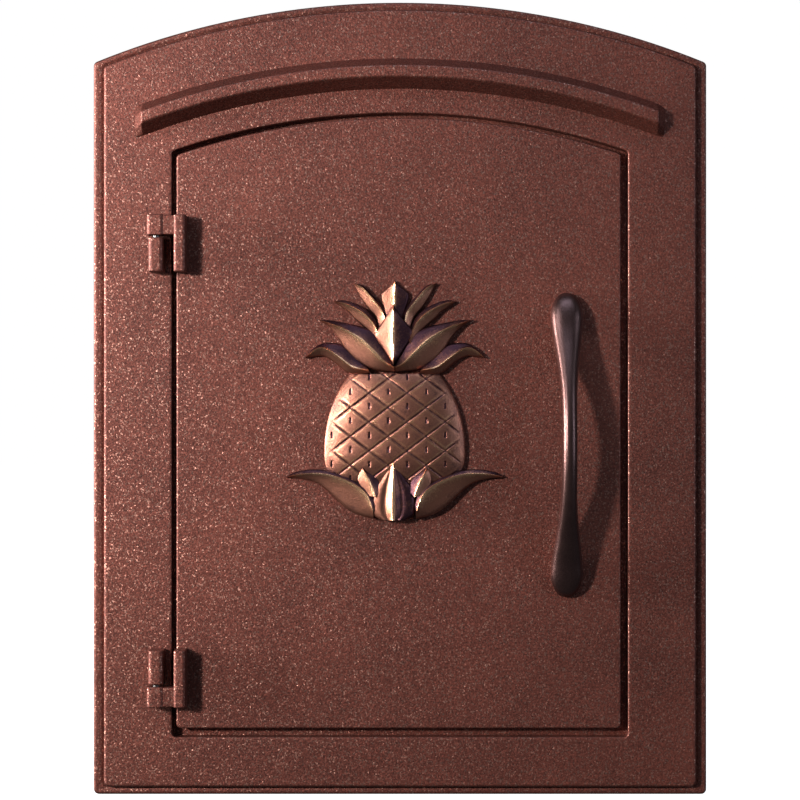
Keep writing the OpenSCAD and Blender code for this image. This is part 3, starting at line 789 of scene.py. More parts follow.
class MAILBOX_OT_faceplate(Operator):
    """Cast faceplate: stepped border, raised panel, door recess, stop lip and rain hood"""
    bl_idname = "mailbox.faceplate"
    bl_label = "Faceplate"

    def execute(self, context):
        size = context.scene.mailbox_front
        low, high = corners("faceplate")
        panel_y, back_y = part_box("door_panel")[0][1], high.y
        lip_y, pocket_y = -size.lip_front, -size.pocket_depth
        centre = high.z - size.arch_radius
        nearly_flat, below, trimmed = 40.0, 0.018, 0.004
        outer = Arch(low.x, high.x, low.z, high.z, size.arch_radius, size.corner_radius)
        opening = Arch(-size.opening_half_width, size.opening_half_width, size.opening_bottom,
                       size.opening_top, size.opening_top - centre, DOOR_CORNER)
        mouth = Arch(-size.mouth_half_width, size.mouth_half_width, size.mouth_bottom,
                     size.mouth_top, nearly_flat, 0.0015)
        half = size.opening_half_width + size.surround_width
        top = size.opening_top + size.surround_width - trimmed
        surround = Arch(-half, half, size.opening_bottom - below, top, top - centre, 0.004)
        rim = outer.inset(size.rim_width)
        rim.corner = surround.corner
        rings = self.front_rings(outer, opening, panel_y, size)
        rings += rings_at((opening, 0.0, lip_y - HOLD), (opening, 0.0, lip_y),
                          (opening, HOLD, lip_y), (mouth, -2 * HOLD, lip_y),
                          (mouth, -HOLD, lip_y), (mouth, 0.0, lip_y + HOLD),
                          (mouth, 0.0, back_y - HOLD), (mouth, -HOLD, back_y),
                          (mouth, -2 * HOLD, back_y), (surround, 2 * HOLD, back_y),
                          (surround, HOLD, back_y), (surround, 0.0, back_y - HOLD))
        # how the pocket's walls turn into its floor: (away from the wall, up from the floor)
        cove = ((0.0, 0.0012), (0.0004, 0.0003), (0.0015, 0.0))
        rings += rings_at(*((surround, -away, pocket_y + up) for away, up in cove))
        rings += rings_at(*((rim, away, pocket_y + up) for away, up in reversed(cove)))
        rings += rings_at((rim, 0.0, -HOLD), (rim, -HOLD, 0.0))
        bm = bmesh.new()
        stack(bm, rings, closed=True)
        plate = object_from("faceplate_casting", bm)
        combine(plate, "UNION",
                [self.hood(size, centre, panel_y)] + self.ribs(size, surround, rim))
        firm(plate)
        finish_piece(plate, HOUSING, "powder_coat", "faceplate")
        return {"FINISHED"}

    def front_rings(self, outer, opening, panel_y, size):
        """Rings from the back of the rim over the stepped border to the door opening."""
        border_y, edge = -size.border_height, size.edge_radius
        raised = Arch(outer.left + size.border_width, outer.right - size.border_width,
                      outer.bottom + size.border_end, outer.top - size.border_end,
                      outer.radius - size.border_end, outer.corner)
        rings = rings_at((outer, 0.0012, 0.0), (outer, 0.0004, 0.0), (outer, 0.0, -0.0004))
        rings += rounding(outer, border_y, edge)
        rings += rings_at((outer, edge + 0.0003, border_y))
        # a shallow groove at the foot of the raised panel: (inset, depth)
        groove = ((-0.0022, 0.0), (-0.0014, 0.00035), (-0.0006, 0.0006), (-0.0001, 0.0004))
        rings += rings_at(*((raised, inset, border_y + deep) for inset, deep in groove))
        rings += rounding(raised, panel_y, edge, 6)
        mouth_edge, steps = 0.0008, 5
        before = opening.inset(-2 * mouth_edge)
        rings += rings_at((raised, edge + HOLD, panel_y), (before, -HOLD, panel_y),
                          (before, 0.0, panel_y))
        turns = [math.pi / 2 * i / steps for i in range(1, steps + 1)]
        rings += rings_at(*((opening, -mouth_edge * (1 - math.sin(a)),
                             panel_y + mouth_edge * (1 - math.cos(a))) for a in turns))
        rings += rings_at((opening, 0.0, panel_y + mouth_edge + HOLD))
        return rings

    def hood(self, size, centre, panel_y):
        """Cornice with rounded edges, a soft fillet underneath and upright ends."""
        out = size.hood_out
        low, high = size.hood_low - centre, size.hood_high - centre
        # (radius, how far in front of the panel) along the hood's section, from below
        section = [(low, -0.0012), (low, 0.0), (low + 0.0007, 0.0012), (low + 0.0017, 0.0030),
                   (low + 0.0050, out - 0.0012), (low + 0.0054, out - 0.0005),
                   (low + 0.0061, out - 0.0001), (low + 0.0068, out), (high - 0.0062, out),
                   (high - 0.0055, out - 0.0001), (high - 0.0049, out - 0.0005),
                   (high - 0.0044, out - 0.0012), (high - 0.0010, 0.0024), (high - 0.0003, 0.0010),
                   (high + 0.0003, 0.0), (high + 0.0003, -0.0012)]
        base, front = size.hood_half_length, size.hood_half_length - size.hood_draft
        # (place along the hood, share of the section's height)
        end = [(-base, 0.05), (-front - 0.0001, 0.93), (-front + 0.0002, 0.97),
               (-front + 0.0006, 0.99), (-front + 0.0012, 1.0)]
        inner, steps = front - 0.0012, 72
        stations = end + [(-inner + 2 * inner * i / steps, 1.0) for i in range(1, steps)]
        stations += [(-x, scale) for x, scale in reversed(end)]
        rings = [[(x, panel_y + HOLD - (proud + HOLD) * scale,
                   centre + math.sqrt(radius * radius - x * x)) for radius, proud in section]
                 for x, scale in stations]
        bm = bmesh.new()
        stack(bm, rings)
        return object_from("hood_form", bm)

    def ribs(self, size, surround, rim):
        """Stiffening ribs across the pocket in the back."""
        depth, sunk = size.pocket_depth, 0.0005
        thick = overlap = 0.002
        bars = [(x - thick, x + thick, surround.top - 0.010,
                 min(rim.top - sunk, rim.arc_height(x) + overlap)) for x in (-0.100, 0.0, 0.100)]
        for side in (-1, 1):
            x0, x1 = sorted((side * (surround.right - overlap), side * (rim.right + overlap)))
            bars += [(x0, x1, z - thick, z + thick) for z in (0.110, 0.190, 0.270)]
        made = []
        for x0, x1, z0, z1 in bars:
            bm = bmesh.new()
            bmesh.ops.create_cube(bm, size=1.0)
            centre = Vector(((x0 + x1) / 2, -depth / 2 - sunk, (z0 + z1) / 2))
            extent = Vector((x1 - x0, depth, z1 - z0))
            bm.transform(Matrix.LocRotScale(centre, None, extent))
            bmesh.ops.bevel(bm, geom=list(bm.edges), offset=0.0007, segments=2, profile=0.5,
                            affect="EDGES")
            made.append(object_from("rib_form", bm))
        return made


class MAILBOX_OT_door(Operator):
    """Arched door, flush with the raised panel"""
    bl_idname = "mailbox.door"
    bl_label = "Door"

    def execute(self, context):
        size = context.scene.mailbox_front
        low, high = corners("door_panel")
        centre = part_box("faceplate")[1][2] - size.arch_radius
        outline = Arch(low.x, high.x, low.z, high.z, high.z - centre, DOOR_CORNER)
        back_edge, front_edge = 0.0007, 0.0009
        rings = rings_at((outline, back_edge + HOLD, high.y))
        rings += reversed(rounding(outline, high.y, back_edge, 3, way=1.0))
        rings += rounding(outline, low.y, front_edge)
        rings += rings_at((outline, front_edge + HOLD, low.y))
        bm = bmesh.new()
        stack(bm, rings)
        piece = firm(object_from("door_leaf", bm))
        finish_piece(piece, DOOR, "powder_coat", "door_panel")
        return {"FINISHED"}


class MAILBOX_OT_hinges(Operator):
    """Cast knuckles on the frame, knuckled arms on the door, and the hinge pins"""
    bl_idname = "mailbox.hinges"
    bl_label = "Hinges"

    def execute(self, context):
        for where in ("upper", "lower"):
            node = where + "_hinge_"
            finish_piece(self.knuckle(where), HOUSING, "powder_coat", node + "knuckle")
            finish_piece(self.arm(where), DOOR, "powder_coat", node + "arm")
            pin = softened_copy(node + "pin", where + "_pin", 0.0003)
            finish_piece(pin, HOUSING, "pin_steel", node + "pin")
        return {"FINISHED"}

    def bore(self, where, gap, beyond):
        """A rod that cuts the pin's hole, longer than the pin at its open end."""
        low, high = corners(where + "_hinge_pin")
        radius = (high.x - low.x) / 2 + gap
        z0, z1 = (low.z, high.z + beyond) if where == "upper" else (low.z - beyond, high.z)
        bm = bmesh.new()
        bmesh.ops.create_cone(bm, cap_ends=True, segments=40, radius1=radius, radius2=radius,
                              depth=z1 - z0)
        middle = ((low.x + high.x) / 2, (low.y + high.y) / 2, (z0 + z1) / 2)
        bmesh.ops.translate(bm, verts=bm.verts, vec=middle)
        return object_from("bore", bm)

    def knuckle(self, where):
        """The frame's knuckle: a block with a nearly half-round front."""
        low, high = corners(where + "_hinge_knuckle")
        slim = 0.0002
        block = upright_block(where + "_frame_knuckle", low.x + slim, high.x - slim,
                              low.y, high.y, low.z, high.z, front=0.0024)
        combine(block, "DIFFERENCE", [self.bore(where, gap=0.00001, beyond=0.0)])
        return firm(block)

    def arm(self, where):
        """The door's knuckle, its bridge and the leaf block."""
        low, high = corners(where + "_hinge_arm")
        pin_low, pin_high = corners(where + "_hinge_pin")
        frame_low, frame_high = corners(where + "_hinge_knuckle")
        pin_x = (pin_low + pin_high).x / 2
        gap = 0.0013
        z0, z1 = ((frame_high.z + gap, high.z) if where == "upper"
                  else (low.z, frame_low.z - gap))
        half, leaf_width, back = pin_x - low.x, 0.007, 0.002
        leaf = upright_block(where + "_door_knuckle", high.x - leaf_width, high.x,
                             low.y, high.y, low.z, high.z, front=0.0019)
        knuckle = upright_block("knuckle_form", low.x, pin_x + half - 0.0006,
                                low.y + 0.0002, high.y - back, z0, z1, front=0.0021)
        bridge = upright_block("bridge_form", pin_x, high.x - leaf_width + 0.002,
                               low.y + 0.0011, high.y - back - 0.0002,
                               z0 + 0.0003, z1 - 0.0003, front=0.0006)
        combine(leaf, "UNION", [knuckle, bridge])
        combine(leaf, "DIFFERENCE", [self.bore(where, gap=0.00005, beyond=0.002)])
        return firm(leaf)


class MAILBOX_OT_handle(Operator):
    """Bow handle: wide feet that flow into a slim arched grip"""
    bl_idname = "mailbox.handle"
    bl_label = "Handle"

    def execute(self, context):
        size = context.scene.mailbox_handle
        low, high = corners("pull_handle")
        door_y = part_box("door_panel")[0][1]
        middle = (low + high) / 2
        half = (high.z - low.z) / 2
        rings_count, sides = 120, 40
        boxiness, crowding, near = 0.86, 0.35, 0.002

        def squared(value):
            """A sine or cosine, swollen towards a rounded square."""
            return math.copysign(abs(value) ** boxiness, value)

        def end_scale(t):
            past = (abs(t) - size.foot_share) / (1 - size.foot_share)
            return 1.0 if past < 0 else math.sqrt(max(0.0004, 1 - past ** 2.4))

        def height(t):
            bow = max(0.0, 1 - (t / 0.98) ** 2) ** 2
            return size.foot_height * end_scale(t) + (size.bow_height - size.foot_height) * bow

        def width(t):
            spread = math.sin(min(1.0, abs(t) / 0.92) * math.pi / 2) ** 4.5
            return end_scale(t) * (size.grip_width + (size.foot_width - size.grip_width) * spread)

        def thickness(t):
            return end_scale(t) * (0.0093 + 0.0034 * abs(t) ** 1.5)

        rings = []
        for i in range(rings_count):
            u = -1 + 2 * i / (rings_count - 1)
            t = crowding * math.sin(math.pi / 2 * u) + (1 - crowding) * u
            slope = (height(t + near) - height(t - near)) / (2 * near * half)
            tilt = math.atan(slope) * end_scale(t)
            ring = []
            for k in range(sides):
                a = 2 * math.pi * k / sides
                u_off = squared(math.cos(a)) * width(t) / 2
                v_off = squared(math.sin(a)) * thickness(t) / 2
                out = height(t) + v_off * math.cos(tilt)
                along = t * half - v_off * math.sin(tilt)
                ring.append((middle.x + u_off, door_y - max(out, 0.0), middle.z + along))
            rings.append(ring)
        bm = bmesh.new()
        stack(bm, rings)
        bmesh.ops.dissolve_degenerate(bm, dist=1e-7, edges=bm.edges)
        piece = object_from("bow_handle", bm, 50.0)
        finish_piece(piece, DOOR, "handle_coat", "pull_handle")
        return {"FINISHED"}


# ---- emblem ------------------------------------------------------------------

def smooth_line(points, count):
    """Evenly spaced points on a smooth curve through the given ones."""
    points = [Vector(p) for p in points]
    ends = [points[0] * 2 - points[1]] + points + [points[-1] * 2 - points[-2]]
    fine = []
    pieces = 12
    for k in range(1, len(ends) - 2):
        a, b, c, d = ends[k - 1:k + 3]
        for i in range(pieces):
            t = i / pieces
            fine.append(0.5 * (2 * b + (c - a) * t + (2 * a - 5 * b + 4 * c - d) * t * t
                               + (3 * b - a - 3 * c + d) * t ** 3))
    fine.append(points[-1])
    reach = [0.0]
    for p, q in zip(fine, fine[1:]):
        reach.append(reach[-1] + (q - p).length)
    line, k = [], 0
    for i in range(count):
        want = reach[-1] * i / (count - 1)
        while k < len(reach) - 2 and reach[k + 1] < want:
            k += 1
        span = max(reach[k + 1] - reach[k], 1e-9)
        line.append(fine[k].lerp(fine[k + 1], min(1.0, (want - reach[k]) / span)))
    return line


def mirror(line):
    """The same line on the other side."""
    return [(-x, z) for x, z in line]


def upright(x, *heights):
    """A straight line that runs down at x."""
    return [(x, z) for z in heights]


class Leaf:
    """A cast leaf with a sharp ridge. Its lines run from the tip to the root, in millimetres."""

    def __init__(self, upper, ridge, lower, edges, high, tip_edge, tip_high, side_ribs=0.0):
        self.lines = [upper, ridge, lower]
        self.edges, self.high, self.tip_edge, self.tip_high = edges, high, tip_edge, tip_high
        self.side_ribs = side_ribs

    def mirrored(self):
        """The same leaf on the other side."""
        return Leaf(*(mirror(line) for line in self.lines), self.edges, self.high,
                    self.tip_edge, self.tip_high, self.side_ribs)

    def height(self, s, t, root_edge):
        """Height of the skin at a share s from the edge to the ridge, t along the leaf."""
        grown = t ** 0.7
        edge = self.tip_edge + (root_edge - self.tip_edge) * grown
        high = self.tip_high + (self.high - self.tip_high) * grown
        shoulder = 0.9 * (1 - min(1.0, s / 0.16)) ** 2
        ribs = self.side_ribs * math.exp(-((s - 0.64) / 0.14) ** 2) * min(1.0, 2 * t)
        swell = 0.66 * math.sin(s * math.pi / 2) + 0.34 * s ** 4
        return edge + (high - edge) * swell - shoulder - ribs

    def add_to(self, bm, wear_and_painted_light, origin, steps=34):
        """Adds the leaf's closed shell to a bmesh. Its ridges are marked as rubbed. Its flanks are
        marked with painted light and shade: lighter below, darker above and brighter towards the
        ridge. Its walls are marked dark.
        """
        upper, ridge, lower = (smooth_line(line, steps + 1) for line in self.lines)
        shares = [0.0, 0.03, 0.07, 0.12, 0.18, 0.26, 0.35, 0.44, 0.53, 0.62, 0.71, 0.80,
                  0.88, 0.95, 1.0]
        first_blend, tip_size, ridge_rub = 0.012, 0.05, 1.15
        tip = upper[0]
        walk = [(s, lower, self.edges[1]) for s in shares]
        walk += [(s, upper, self.edges[0]) for s in reversed(shares[:-1])]
        rings, marks = [], []
        for i in range(steps + 1):
            t = i / steps
            ring, tone_mark = [], []
            for s, line, edge in walk:
                p = line[i].lerp(ridge[i], s)
                if i == 0:
                    # the tip is a very small ring rather than a point
                    p = tip + (line[1].lerp(ridge[1], s) - tip) * tip_size
                ring.append((p, self.height(s, max(t, first_blend), edge)))
                # painted light and shade: the lower flank is marked lighter than the upper flank,
                # and both brighten towards the ridge
                painted_flank_light = 0.42 + 0.50 * s ** 2 if line is lower else 0.08 + 0.30 * s ** 3
                tone_mark.append(ridge_rub if s > 0.94 else painted_flank_light)
            foot = [(ring[-1][0], 0.0), (ring[0][0], 0.0)]
            rings.append([self.place(p, h, origin) for p, h in ring + foot])
            # the walls down to the door are marked 0: dark patina at the foot, which also paints
            # shade round the leaf
            marks.append(tone_mark + [0.0, 0.0])
        made = stack(bm, rings)
        for ring, tone_mark in zip(made, marks):
            for vert, mark in zip(ring, tone_mark):
                vert[wear_and_painted_light] = mark

    @staticmethod
    def place(point, height, origin):
        """A point of the emblem in the row frame, in metres."""
        return (origin.x + point.x * MM, origin.y - height * MM, origin.z + point.y * MM)


CROWN_LEAVES = [
    Leaf([(-23.9, 137.0), (-18.7, 135.9), (-14.6, 132.3), (-9.9, 126.9), (-5.7, 120.9),
          (-4.2, 113)],
         [(-23.9, 137.0), (-18.9, 134.6), (-14.8, 130.4), (-10.6, 125.2), (-6.6, 119.4),
          (-5.4, 111)],
         [(-23.9, 137.0), (-21.3, 131.8), (-18.7, 127.1), (-15.1, 121.9), (-10.9, 116.7),
          (-8.8, 107)],
         (3.4, 3.6), 6.0, 2.4, 3.6),
    Leaf([(-35.7, 126.5), (-31.2, 127.3), (-26.0, 126.4), (-20.8, 124.2), (-16.1, 121.4),
          (-11.5, 116.2), (-7.5, 107)],
         [(-35.7, 126.5), (-29.6, 125.4), (-24.1, 123.1), (-18.9, 120.2), (-14.8, 116.6),
          (-11.1, 111.5), (-8.4, 103)],
         [(-35.7, 126.5), (-31.7, 123.8), (-26.5, 120.1), (-23.4, 116.7), (-18.7, 112.5),
          (-13.5, 107.3), (-9.5, 99)],
         (4.0, 4.2), 7.0, 2.6, 4.0),
    Leaf([(-51.7, 93.9), (-48.8, 98.0), (-45.2, 100.7), (-41.6, 102.4), (-36.4, 102.6),
          (-30.5, 101.5), (-24.5, 97.0), (-17.0, 90.0)],
         [(-51.7, 93.9), (-48.0, 97.2), (-43.9, 99.6), (-39.6, 99.2), (-34.3, 95.9),
          (-29.1, 91.9), (-23.9, 88.4), (-15.0, 86.6)],
         [(-51.7, 93.9), (-46.8, 94.5), (-41.6, 94.8), (-36.4, 92.3), (-31.2, 88.3),
          (-27.0, 85.0), (-21.0, 84.2), (-14.0, 84.6)],
         (3.8, 4.4), 8.0, 2.4, 4.2),
    Leaf([(-44.2, 115.9), (-37.4, 115.7), (-30.1, 114.4), (-19.7, 112.0), (-12.5, 108.9),
          (-6.2, 102.7), (-0.3, 91.4)],
         [(-44.2, 115.9), (-37.4, 113.6), (-31.2, 111.4), (-23.9, 107.5), (-17.7, 103.2),
          (-10.4, 96.0), (-5.2, 90.9), (-0.3, 88.4)],
         [(-44.2, 115.9), (-37.8, 111.4), (-32.7, 105.3), (-27.5, 97.5), (-21.3, 91.2),
          (-13.5, 87.1), (-0.3, 85.6)],
         (5.0, 5.8), 9.4, 2.8, 4.6),
]
BASE_LEAVES = [
    Leaf([(-18.7, 31.0), (-14.6, 28.4), (-9.4, 23.7), (-8.4, 16.9)],
         [(-18.7, 31.0), (-14.9, 23.6), (-12.4, 17.9), (-11.2, 14.0)],
         [(-18.7, 31.0), (-20.8, 27.3), (-21.4, 22.8), (-18.7, 14.8)],
         (7.2, 7.2), 9.4, 6.6, 8.4),
    Leaf([(-63.4, 25.0), (-58.2, 27.8), (-49.9, 29.4), (-40.5, 29.2), (-33.3, 27.1),
          (-24.9, 23.8), (-18.5, 20.0), (-13.6, 15.9), (-11.6, 9.7)],
         [(-63.4, 25.0), (-57.2, 26.4), (-48.9, 27.3), (-39.5, 26.9), (-30.1, 24.4),
          (-21.8, 20.4), (-16.6, 15.9), (-14.2, 11.0), (-12.6, 6.0)],
         [(-63.4, 25.0), (-54.0, 24.2), (-45.7, 21.9), (-40.0, 18.0), (-33.3, 11.7),
          (-27.5, 6.7), (-21.8, 3.6), (-15.6, 1.9), (-12.2, 1.2)],
         (8.2, 6.2), 9.5, 2.6, 4.2),
]
KITE_SIDE = [(0, 138.3), (4.2, 134.4), (8.1, 131.1), (7.9, 127.0), (6.3, 121.9), (5.2, 112.0)]
MIDDLE_LEAVES = [
    Leaf(KITE_SIDE, upright(0, 138.3, 134.0, 129.5, 125.0, 119.0, 112.0), mirror(KITE_SIDE),
         (3.4, 3.4), 5.0, 2.6, 4.0),
    Leaf([(-0.9, 124.5), (2.6, 119.4), (6.4, 114.4), (10.6, 109.2), (9.6, 105.6), (5.4, 98.6),
          (-0.7, 90.0)],
         upright(-0.9, 124.5, 118.8, 113.0, 107.4, 101.8, 96.0, 89.6),
         [(-0.9, 124.5), (-4.4, 119.0), (-7.8, 113.6), (-11.4, 108.0), (-10.4, 104.6),
          (-6.2, 98.0), (-1.1, 90.0)],
         (7.2, 7.2), 9.8, 5.4, 7.2),
    Leaf([(-1.0, 35.6), (2.1, 30.4), (6.2, 24.4), (10.0, 19.0), (11.4, 13.4), (11.9, 8.2),
          (10.6, 3.6), (6.4, 0.8)],
         upright(-1.0, 35.6, 29.8, 24.0, 18.2, 12.4, 6.6, 0.5),
         [(-1.0, 35.6), (-4.2, 30.4), (-7.5, 25.0), (-11.2, 19.3), (-13.2, 13.0), (-13.8, 7.8),
          (-12.4, 3.4), (-8.2, 0.8)],
         (7.6, 7.6), 10.0, 7.0, 8.6, 0.9),
]


def fruit_tree():
    """A domed fruit, cut with crossing grooves, with a slit in each scale."""
    t = Tree("pineapple_fruit", bottom=0.01, top=0.085, half_width=0.0408, relief=0.009,
             cell_width=0.0218, cell_height=0.01665, groove_depth=0.0005, groove_width=0.0011,
             material=None)
    grid = t.add("GeometryNodeMeshGrid", Size_X=2.0, Size_Y=2.0, Vertices_X=241, Vertices_Y=221)
    across_share, b = t.position()
    a = (across_share * (math.pi / 2)).sin()
    z = t.input("bottom") + (b + 1.0) * 0.5 * (t.input("top") - t.input("bottom"))
    # the outline: widest a third of the way up, drawn in at the shoulders and the foot
    upper = ((b + 0.30) / 1.30).at_least(0.0)
    lower = ((-0.30 - b) / 0.70).at_least(0.0)
    width = t.input("half_width") * (1.0 - (upper ** 2.35) * 0.355 - (lower ** 2.0) * 0.28)
    x = a * width
    round_side = (1.0 - a.size() ** 2.3).at_least(0.0).root()
    fall = 1.0 - (upper ** 5.0) * 0.42 - (lower ** 1.5) * 0.5
    dome = t.input("relief") * (0.26 + 0.74 * round_side) * fall
    across = (x + 0.00366) / t.input("cell_width") + 40.0
    up = (z - 0.0486) / t.input("cell_height")
    one, two = (across + up).fraction(), (across - up).fraction()
    edge_1 = 0.5 - (one - 0.5).size()
    edge_2 = 0.5 - (two - 0.5).size()
    half = t.input("groove_width") / t.input("cell_width")
    fade = 1.0 - a.size().step(0.78, 0.97)
    groove = (1.0 - edge_1.step(0.0, half)).at_least(1.0 - edge_2.step(0.0, half)) * fade
    pillow = ((edge_1 * edge_2) * 4.0).at_least(0.0).root() * fade
    # a short upright slit a little above the middle of each scale
    in_x = (one + two - 1.0) * 0.5
    in_z = (one - two) * 0.5 - 0.05
    slit = (1.0 - (in_x.size() / (0.034 - in_z * 0.06)).step(0.35, 1.0)) \
        * (1.0 - (in_z.size() / 0.12).step(0.6, 1.0)) * (1.0 - a.size().step(0.9, 0.98))
    high = dome + pillow * 0.00035 - groove * t.input("groove_depth") - slit * 0.00075

    def beside(edge):
        """1 along the rubbed lip beside a groove, 0 elsewhere."""
        return edge.step(half, half * 2.2) * (1.0 - edge.step(half * 2.2, half * 4.5))

    lip = beside(edge_1).at_least(beside(edge_2)) * fade
    tone_mark = (0.36 + pillow * 0.08 + lip * 0.40) * (1.0 - groove * 0.6) * (1.0 - slit)
    store = t.add("GeometryNodeStoreNamedAttribute", Geometry=grid.outputs[0], Name="wear_and_painted_light")
    store.data_type, store.domain = "FLOAT", "POINT"
    feed(t.tree, store.inputs["Value"], tone_mark)
    place = t.add("ShaderNodeCombineXYZ", X=x, Y=-high, Z=z)
    shaped = t.add("GeometryNodeSetPosition", Geometry=store.outputs[0], Position=place.outputs[0])
    t.close(shaped.outputs[0])
    return t


def darken_hollows(bm, wear_and_painted_light, door_y, reach=0.010):
    """Lowers the mark of points that their surroundings shelter: dark patina in the hollows
    together with painted shade, as the mark falls with how few rays get out.
    """
    tree = BVHTree.FromBMesh(bm)
    bm.normal_update()
    rays, lift, start_turn = [], 0.00015, 0.3
    for ring, lean in ((4, 0.45), (7, 0.95), (7, 1.3)):
        for k in range(ring):
            a = 2 * math.pi * (k + start_turn) / ring
            rays.append(Vector((math.sin(lean) * math.cos(a), math.sin(lean) * math.sin(a),
                                math.cos(lean))))
    for vert in bm.verts:
        turn = vert.normal.to_track_quat("Z", "Y")
        start = vert.co + vert.normal * lift
        open_rays = 0.0
        for ray in rays:
            way = turn @ ray
            hit = tree.ray_cast(start, way, reach)
            if hit[0] is None and start.y + way.y * reach < door_y:
                open_rays += 1.0
            elif hit[0] is not None:
                open_rays += 0.5 * hit[3] / reach
        open_share = open_rays / len(rays)
        # painted shade with patina: the more sheltered the point, the lower its mark
        vert[wear_and_painted_light] = vert[wear_and_painted_light] * min(1.0, 0.12 + 1.15 * open_share ** 1.2)


class MAILBOX_OT_emblem(Operator):
    """Relief pineapple: a scaled fruit between crown leaves and base leaves"""
    bl_idname = "mailbox.emblem"
    bl_label = "Emblem"

    def execute(self, context):
        size = context.scene.mailbox_emblem
        low, high = corners("pineapple_emblem")
        origin = Vector(((low.x + high.x) / 2, high.y, low.z - 0.0005))
        carrier = bpy.data.meshes.new("fruit_seed")
        carrier.from_pydata([(0, 0, 0)], [], [])
        values = {key.removeprefix("fruit_"): getattr(size, key)
                  for key in MailboxEmblemSizes.__annotations__}
        values["material"] = finish_for("rubbed_copper")
        fruit = fruit_tree().bake("fruit", carrier, values)
        bm = bmesh.new()
        bm.from_mesh(fruit.data)
        bpy.data.objects.remove(fruit)
        bm.transform(Matrix.Translation(origin))
        wear_and_painted_light = bm.verts.layers.float.get("wear_and_painted_light")
        bmesh.ops.remove_doubles(bm, verts=bm.verts, dist=1e-6)
        rim = [e for e in bm.edges if e.is_boundary]
        skirt = bmesh.ops.extrude_edge_only(bm, edges=rim)["geom"]
        for vert in (v for v in skirt if isinstance(v, bmesh.types.BMVert)):
            vert.co.y = origin.y
            # the fruit's walls are marked 0: dark patina at the foot, which also paints shade round
            # the fruit
            vert[wear_and_painted_light] = 0.0
        bmesh.ops.holes_fill(bm, edges=[e for e in bm.edges if e.is_boundary], sides=0)
        for leaf in CROWN_LEAVES + BASE_LEAVES:
            leaf.add_to(bm, wear_and_painted_light, origin)
            leaf.mirrored().add_to(bm, wear_and_painted_light, origin)
        for leaf in MIDDLE_LEAVES:
            leaf.add_to(bm, wear_and_painted_light, origin)
        bmesh.ops.recalc_face_normals(bm, faces=bm.faces)
        # paints shade, together with patina, into the emblem's sheltered places
        darken_hollows(bm, wear_and_painted_light, origin.y)
        piece = object_from("pineapple_relief", bm, 40.0)
        finish_piece(piece, DOOR, "rubbed_copper", "pineapple_emblem")
        return {"FINISHED"}


# ---- fasteners, catch, mail box ----------------------------------------------

class MAILBOX_OT_fasteners(Operator):
    """Screws and rivets, at the places of their CAD solids"""
    bl_idname = "mailbox.fasteners"
    bl_label = "Screws and rivets"

    def execute(self, context):
        back = lambda low, high: (0.0, 1.0, 0.0)
        inward = lambda low, high: (-1.0, 0.0, 0.0)

        def outward(low, high):
            """Heads point away from the mail box's middle."""
            middle = (low + high) / 2
            if abs(middle.x) > 0.115:
                return (math.copysign(1.0, middle.x), 0.0, 0.0)
            return (0.0, 0.0, -1.0)

        # piece, CAD node, body, way the heads face, head radius, head height, shank radius
        pans = (
            ("flange_screws", "box_flange_screws", HOUSING, back, 0.0038, 0.0026, 0.0018),
            ("knuckle_fixing_screws", "knuckle_screws", HOUSING, back, 0.0029, 0.0022, 0.0015),
            ("catch_fixing_screws", "catch_screws", HOUSING, inward, 0.0030, 0.0020, 0.00145),
            ("handle_fixing_screws", "handle_screws", DOOR, back, 0.0038, 0.0015, 0.0020),
            ("emblem_fixing_screws", "emblem_screws", DOOR, back, 0.0030, 0.0019, 0.0015),
            ("strike_fixing_screws", "strike_screws", DOOR, back, 0.0026, 0.0013, 0.00145),
        )
        for name, node, body, axis, head, tall, shank in pans:
            fasteners(name, node, body, axis, head, tall, shank, 0.55, recess=tall * 0.55)
        fasteners("arm_fixing_screws", "hinge_arm_screws", DOOR, back, 0.0030, 0.00045, 0.0015,
                  0.35, recess=0.0004)
        for name in ("roof", "back"):
            fasteners("box_%s_rivet_heads" % name, "box_%s_rivets" % name, HOUSING, outward,
                      0.0031, 0.0012, 0.0017, 0.95)
        return {"FINISHED"}


class MAILBOX_OT_catch(Operator):
    """Magnetic catch, strike plate, handle washers and door bumpers"""
    bl_idname = "mailbox.catch"
    bl_label = "Catch and bumpers"

    def execute(self, context):
        # CAD node, piece, body, slot, radius of its edges
        parts = (
            ("catch_housing", "catch_body", HOUSING, "catch_plastic", 0.0008),
            ("catch_magnet", "catch_ferrite_block", HOUSING, "ferrite", 0.0004),
            ("catch_pole_plates", "catch_poles", HOUSING, "pin_steel", 0.0002),
            ("door_bumpers", "bumper_pads", HOUSING, "black_rubber", 0.0005),
            ("strike_plate", "catch_strike", DOOR, "pin_steel", 0.0003),
            ("handle_washers", "fixing_washers", DOOR, "zinc_fasteners", 0.00015),
        )
        for node, name, body, slot, radius in parts:
            finish_piece(softened_copy(node, name, radius), body, slot, node)
        return {"FINISHED"}


class MAILBOX_OT_box(Operator):
    """Galvanised mail box: the tray, roof and back keep their sheet-metal shape"""
    bl_idname = "mailbox.box"
    bl_label = "Mail box"

    def execute(self, context):
        for node in ("box_tray", "box_roof", "box_back"):
            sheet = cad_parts[node]
            for place in sheet.material_slots:
                place.material = finish_for("galvanised_sheet")
        return {"FINISHED"}


# ---- stage -------------------------------------------------------------------

def lamp(name, wide, tall, power, place, target, colour, diffuse=True):
    """A soft area lamp that faces a target; without diffuse it only gives gloss."""
    data = bpy.data.lights.new(name, "AREA")
    data.shape = "RECTANGLE"
    data.size, data.size_y, data.energy, data.color = wide, tall, power, colour
    made = link(bpy.data.objects.new(name, data))
    made.location = place
    made.rotation_euler = (Vector(target) - Vector(place)).to_track_quat("-Z", "Y").to_euler()
    made.visible_diffuse = diffuse


def plain(name, colour, glow):
    """A pale stage surface that glows a little."""
    finish = Finish(name, roughness=0.9)
    finish.set(Base_Color=(*colour, 1.0), Emission_Color=(1.0, 1.0, 1.0, 1.0),
               Emission_Strength=glow)
    return finish.material


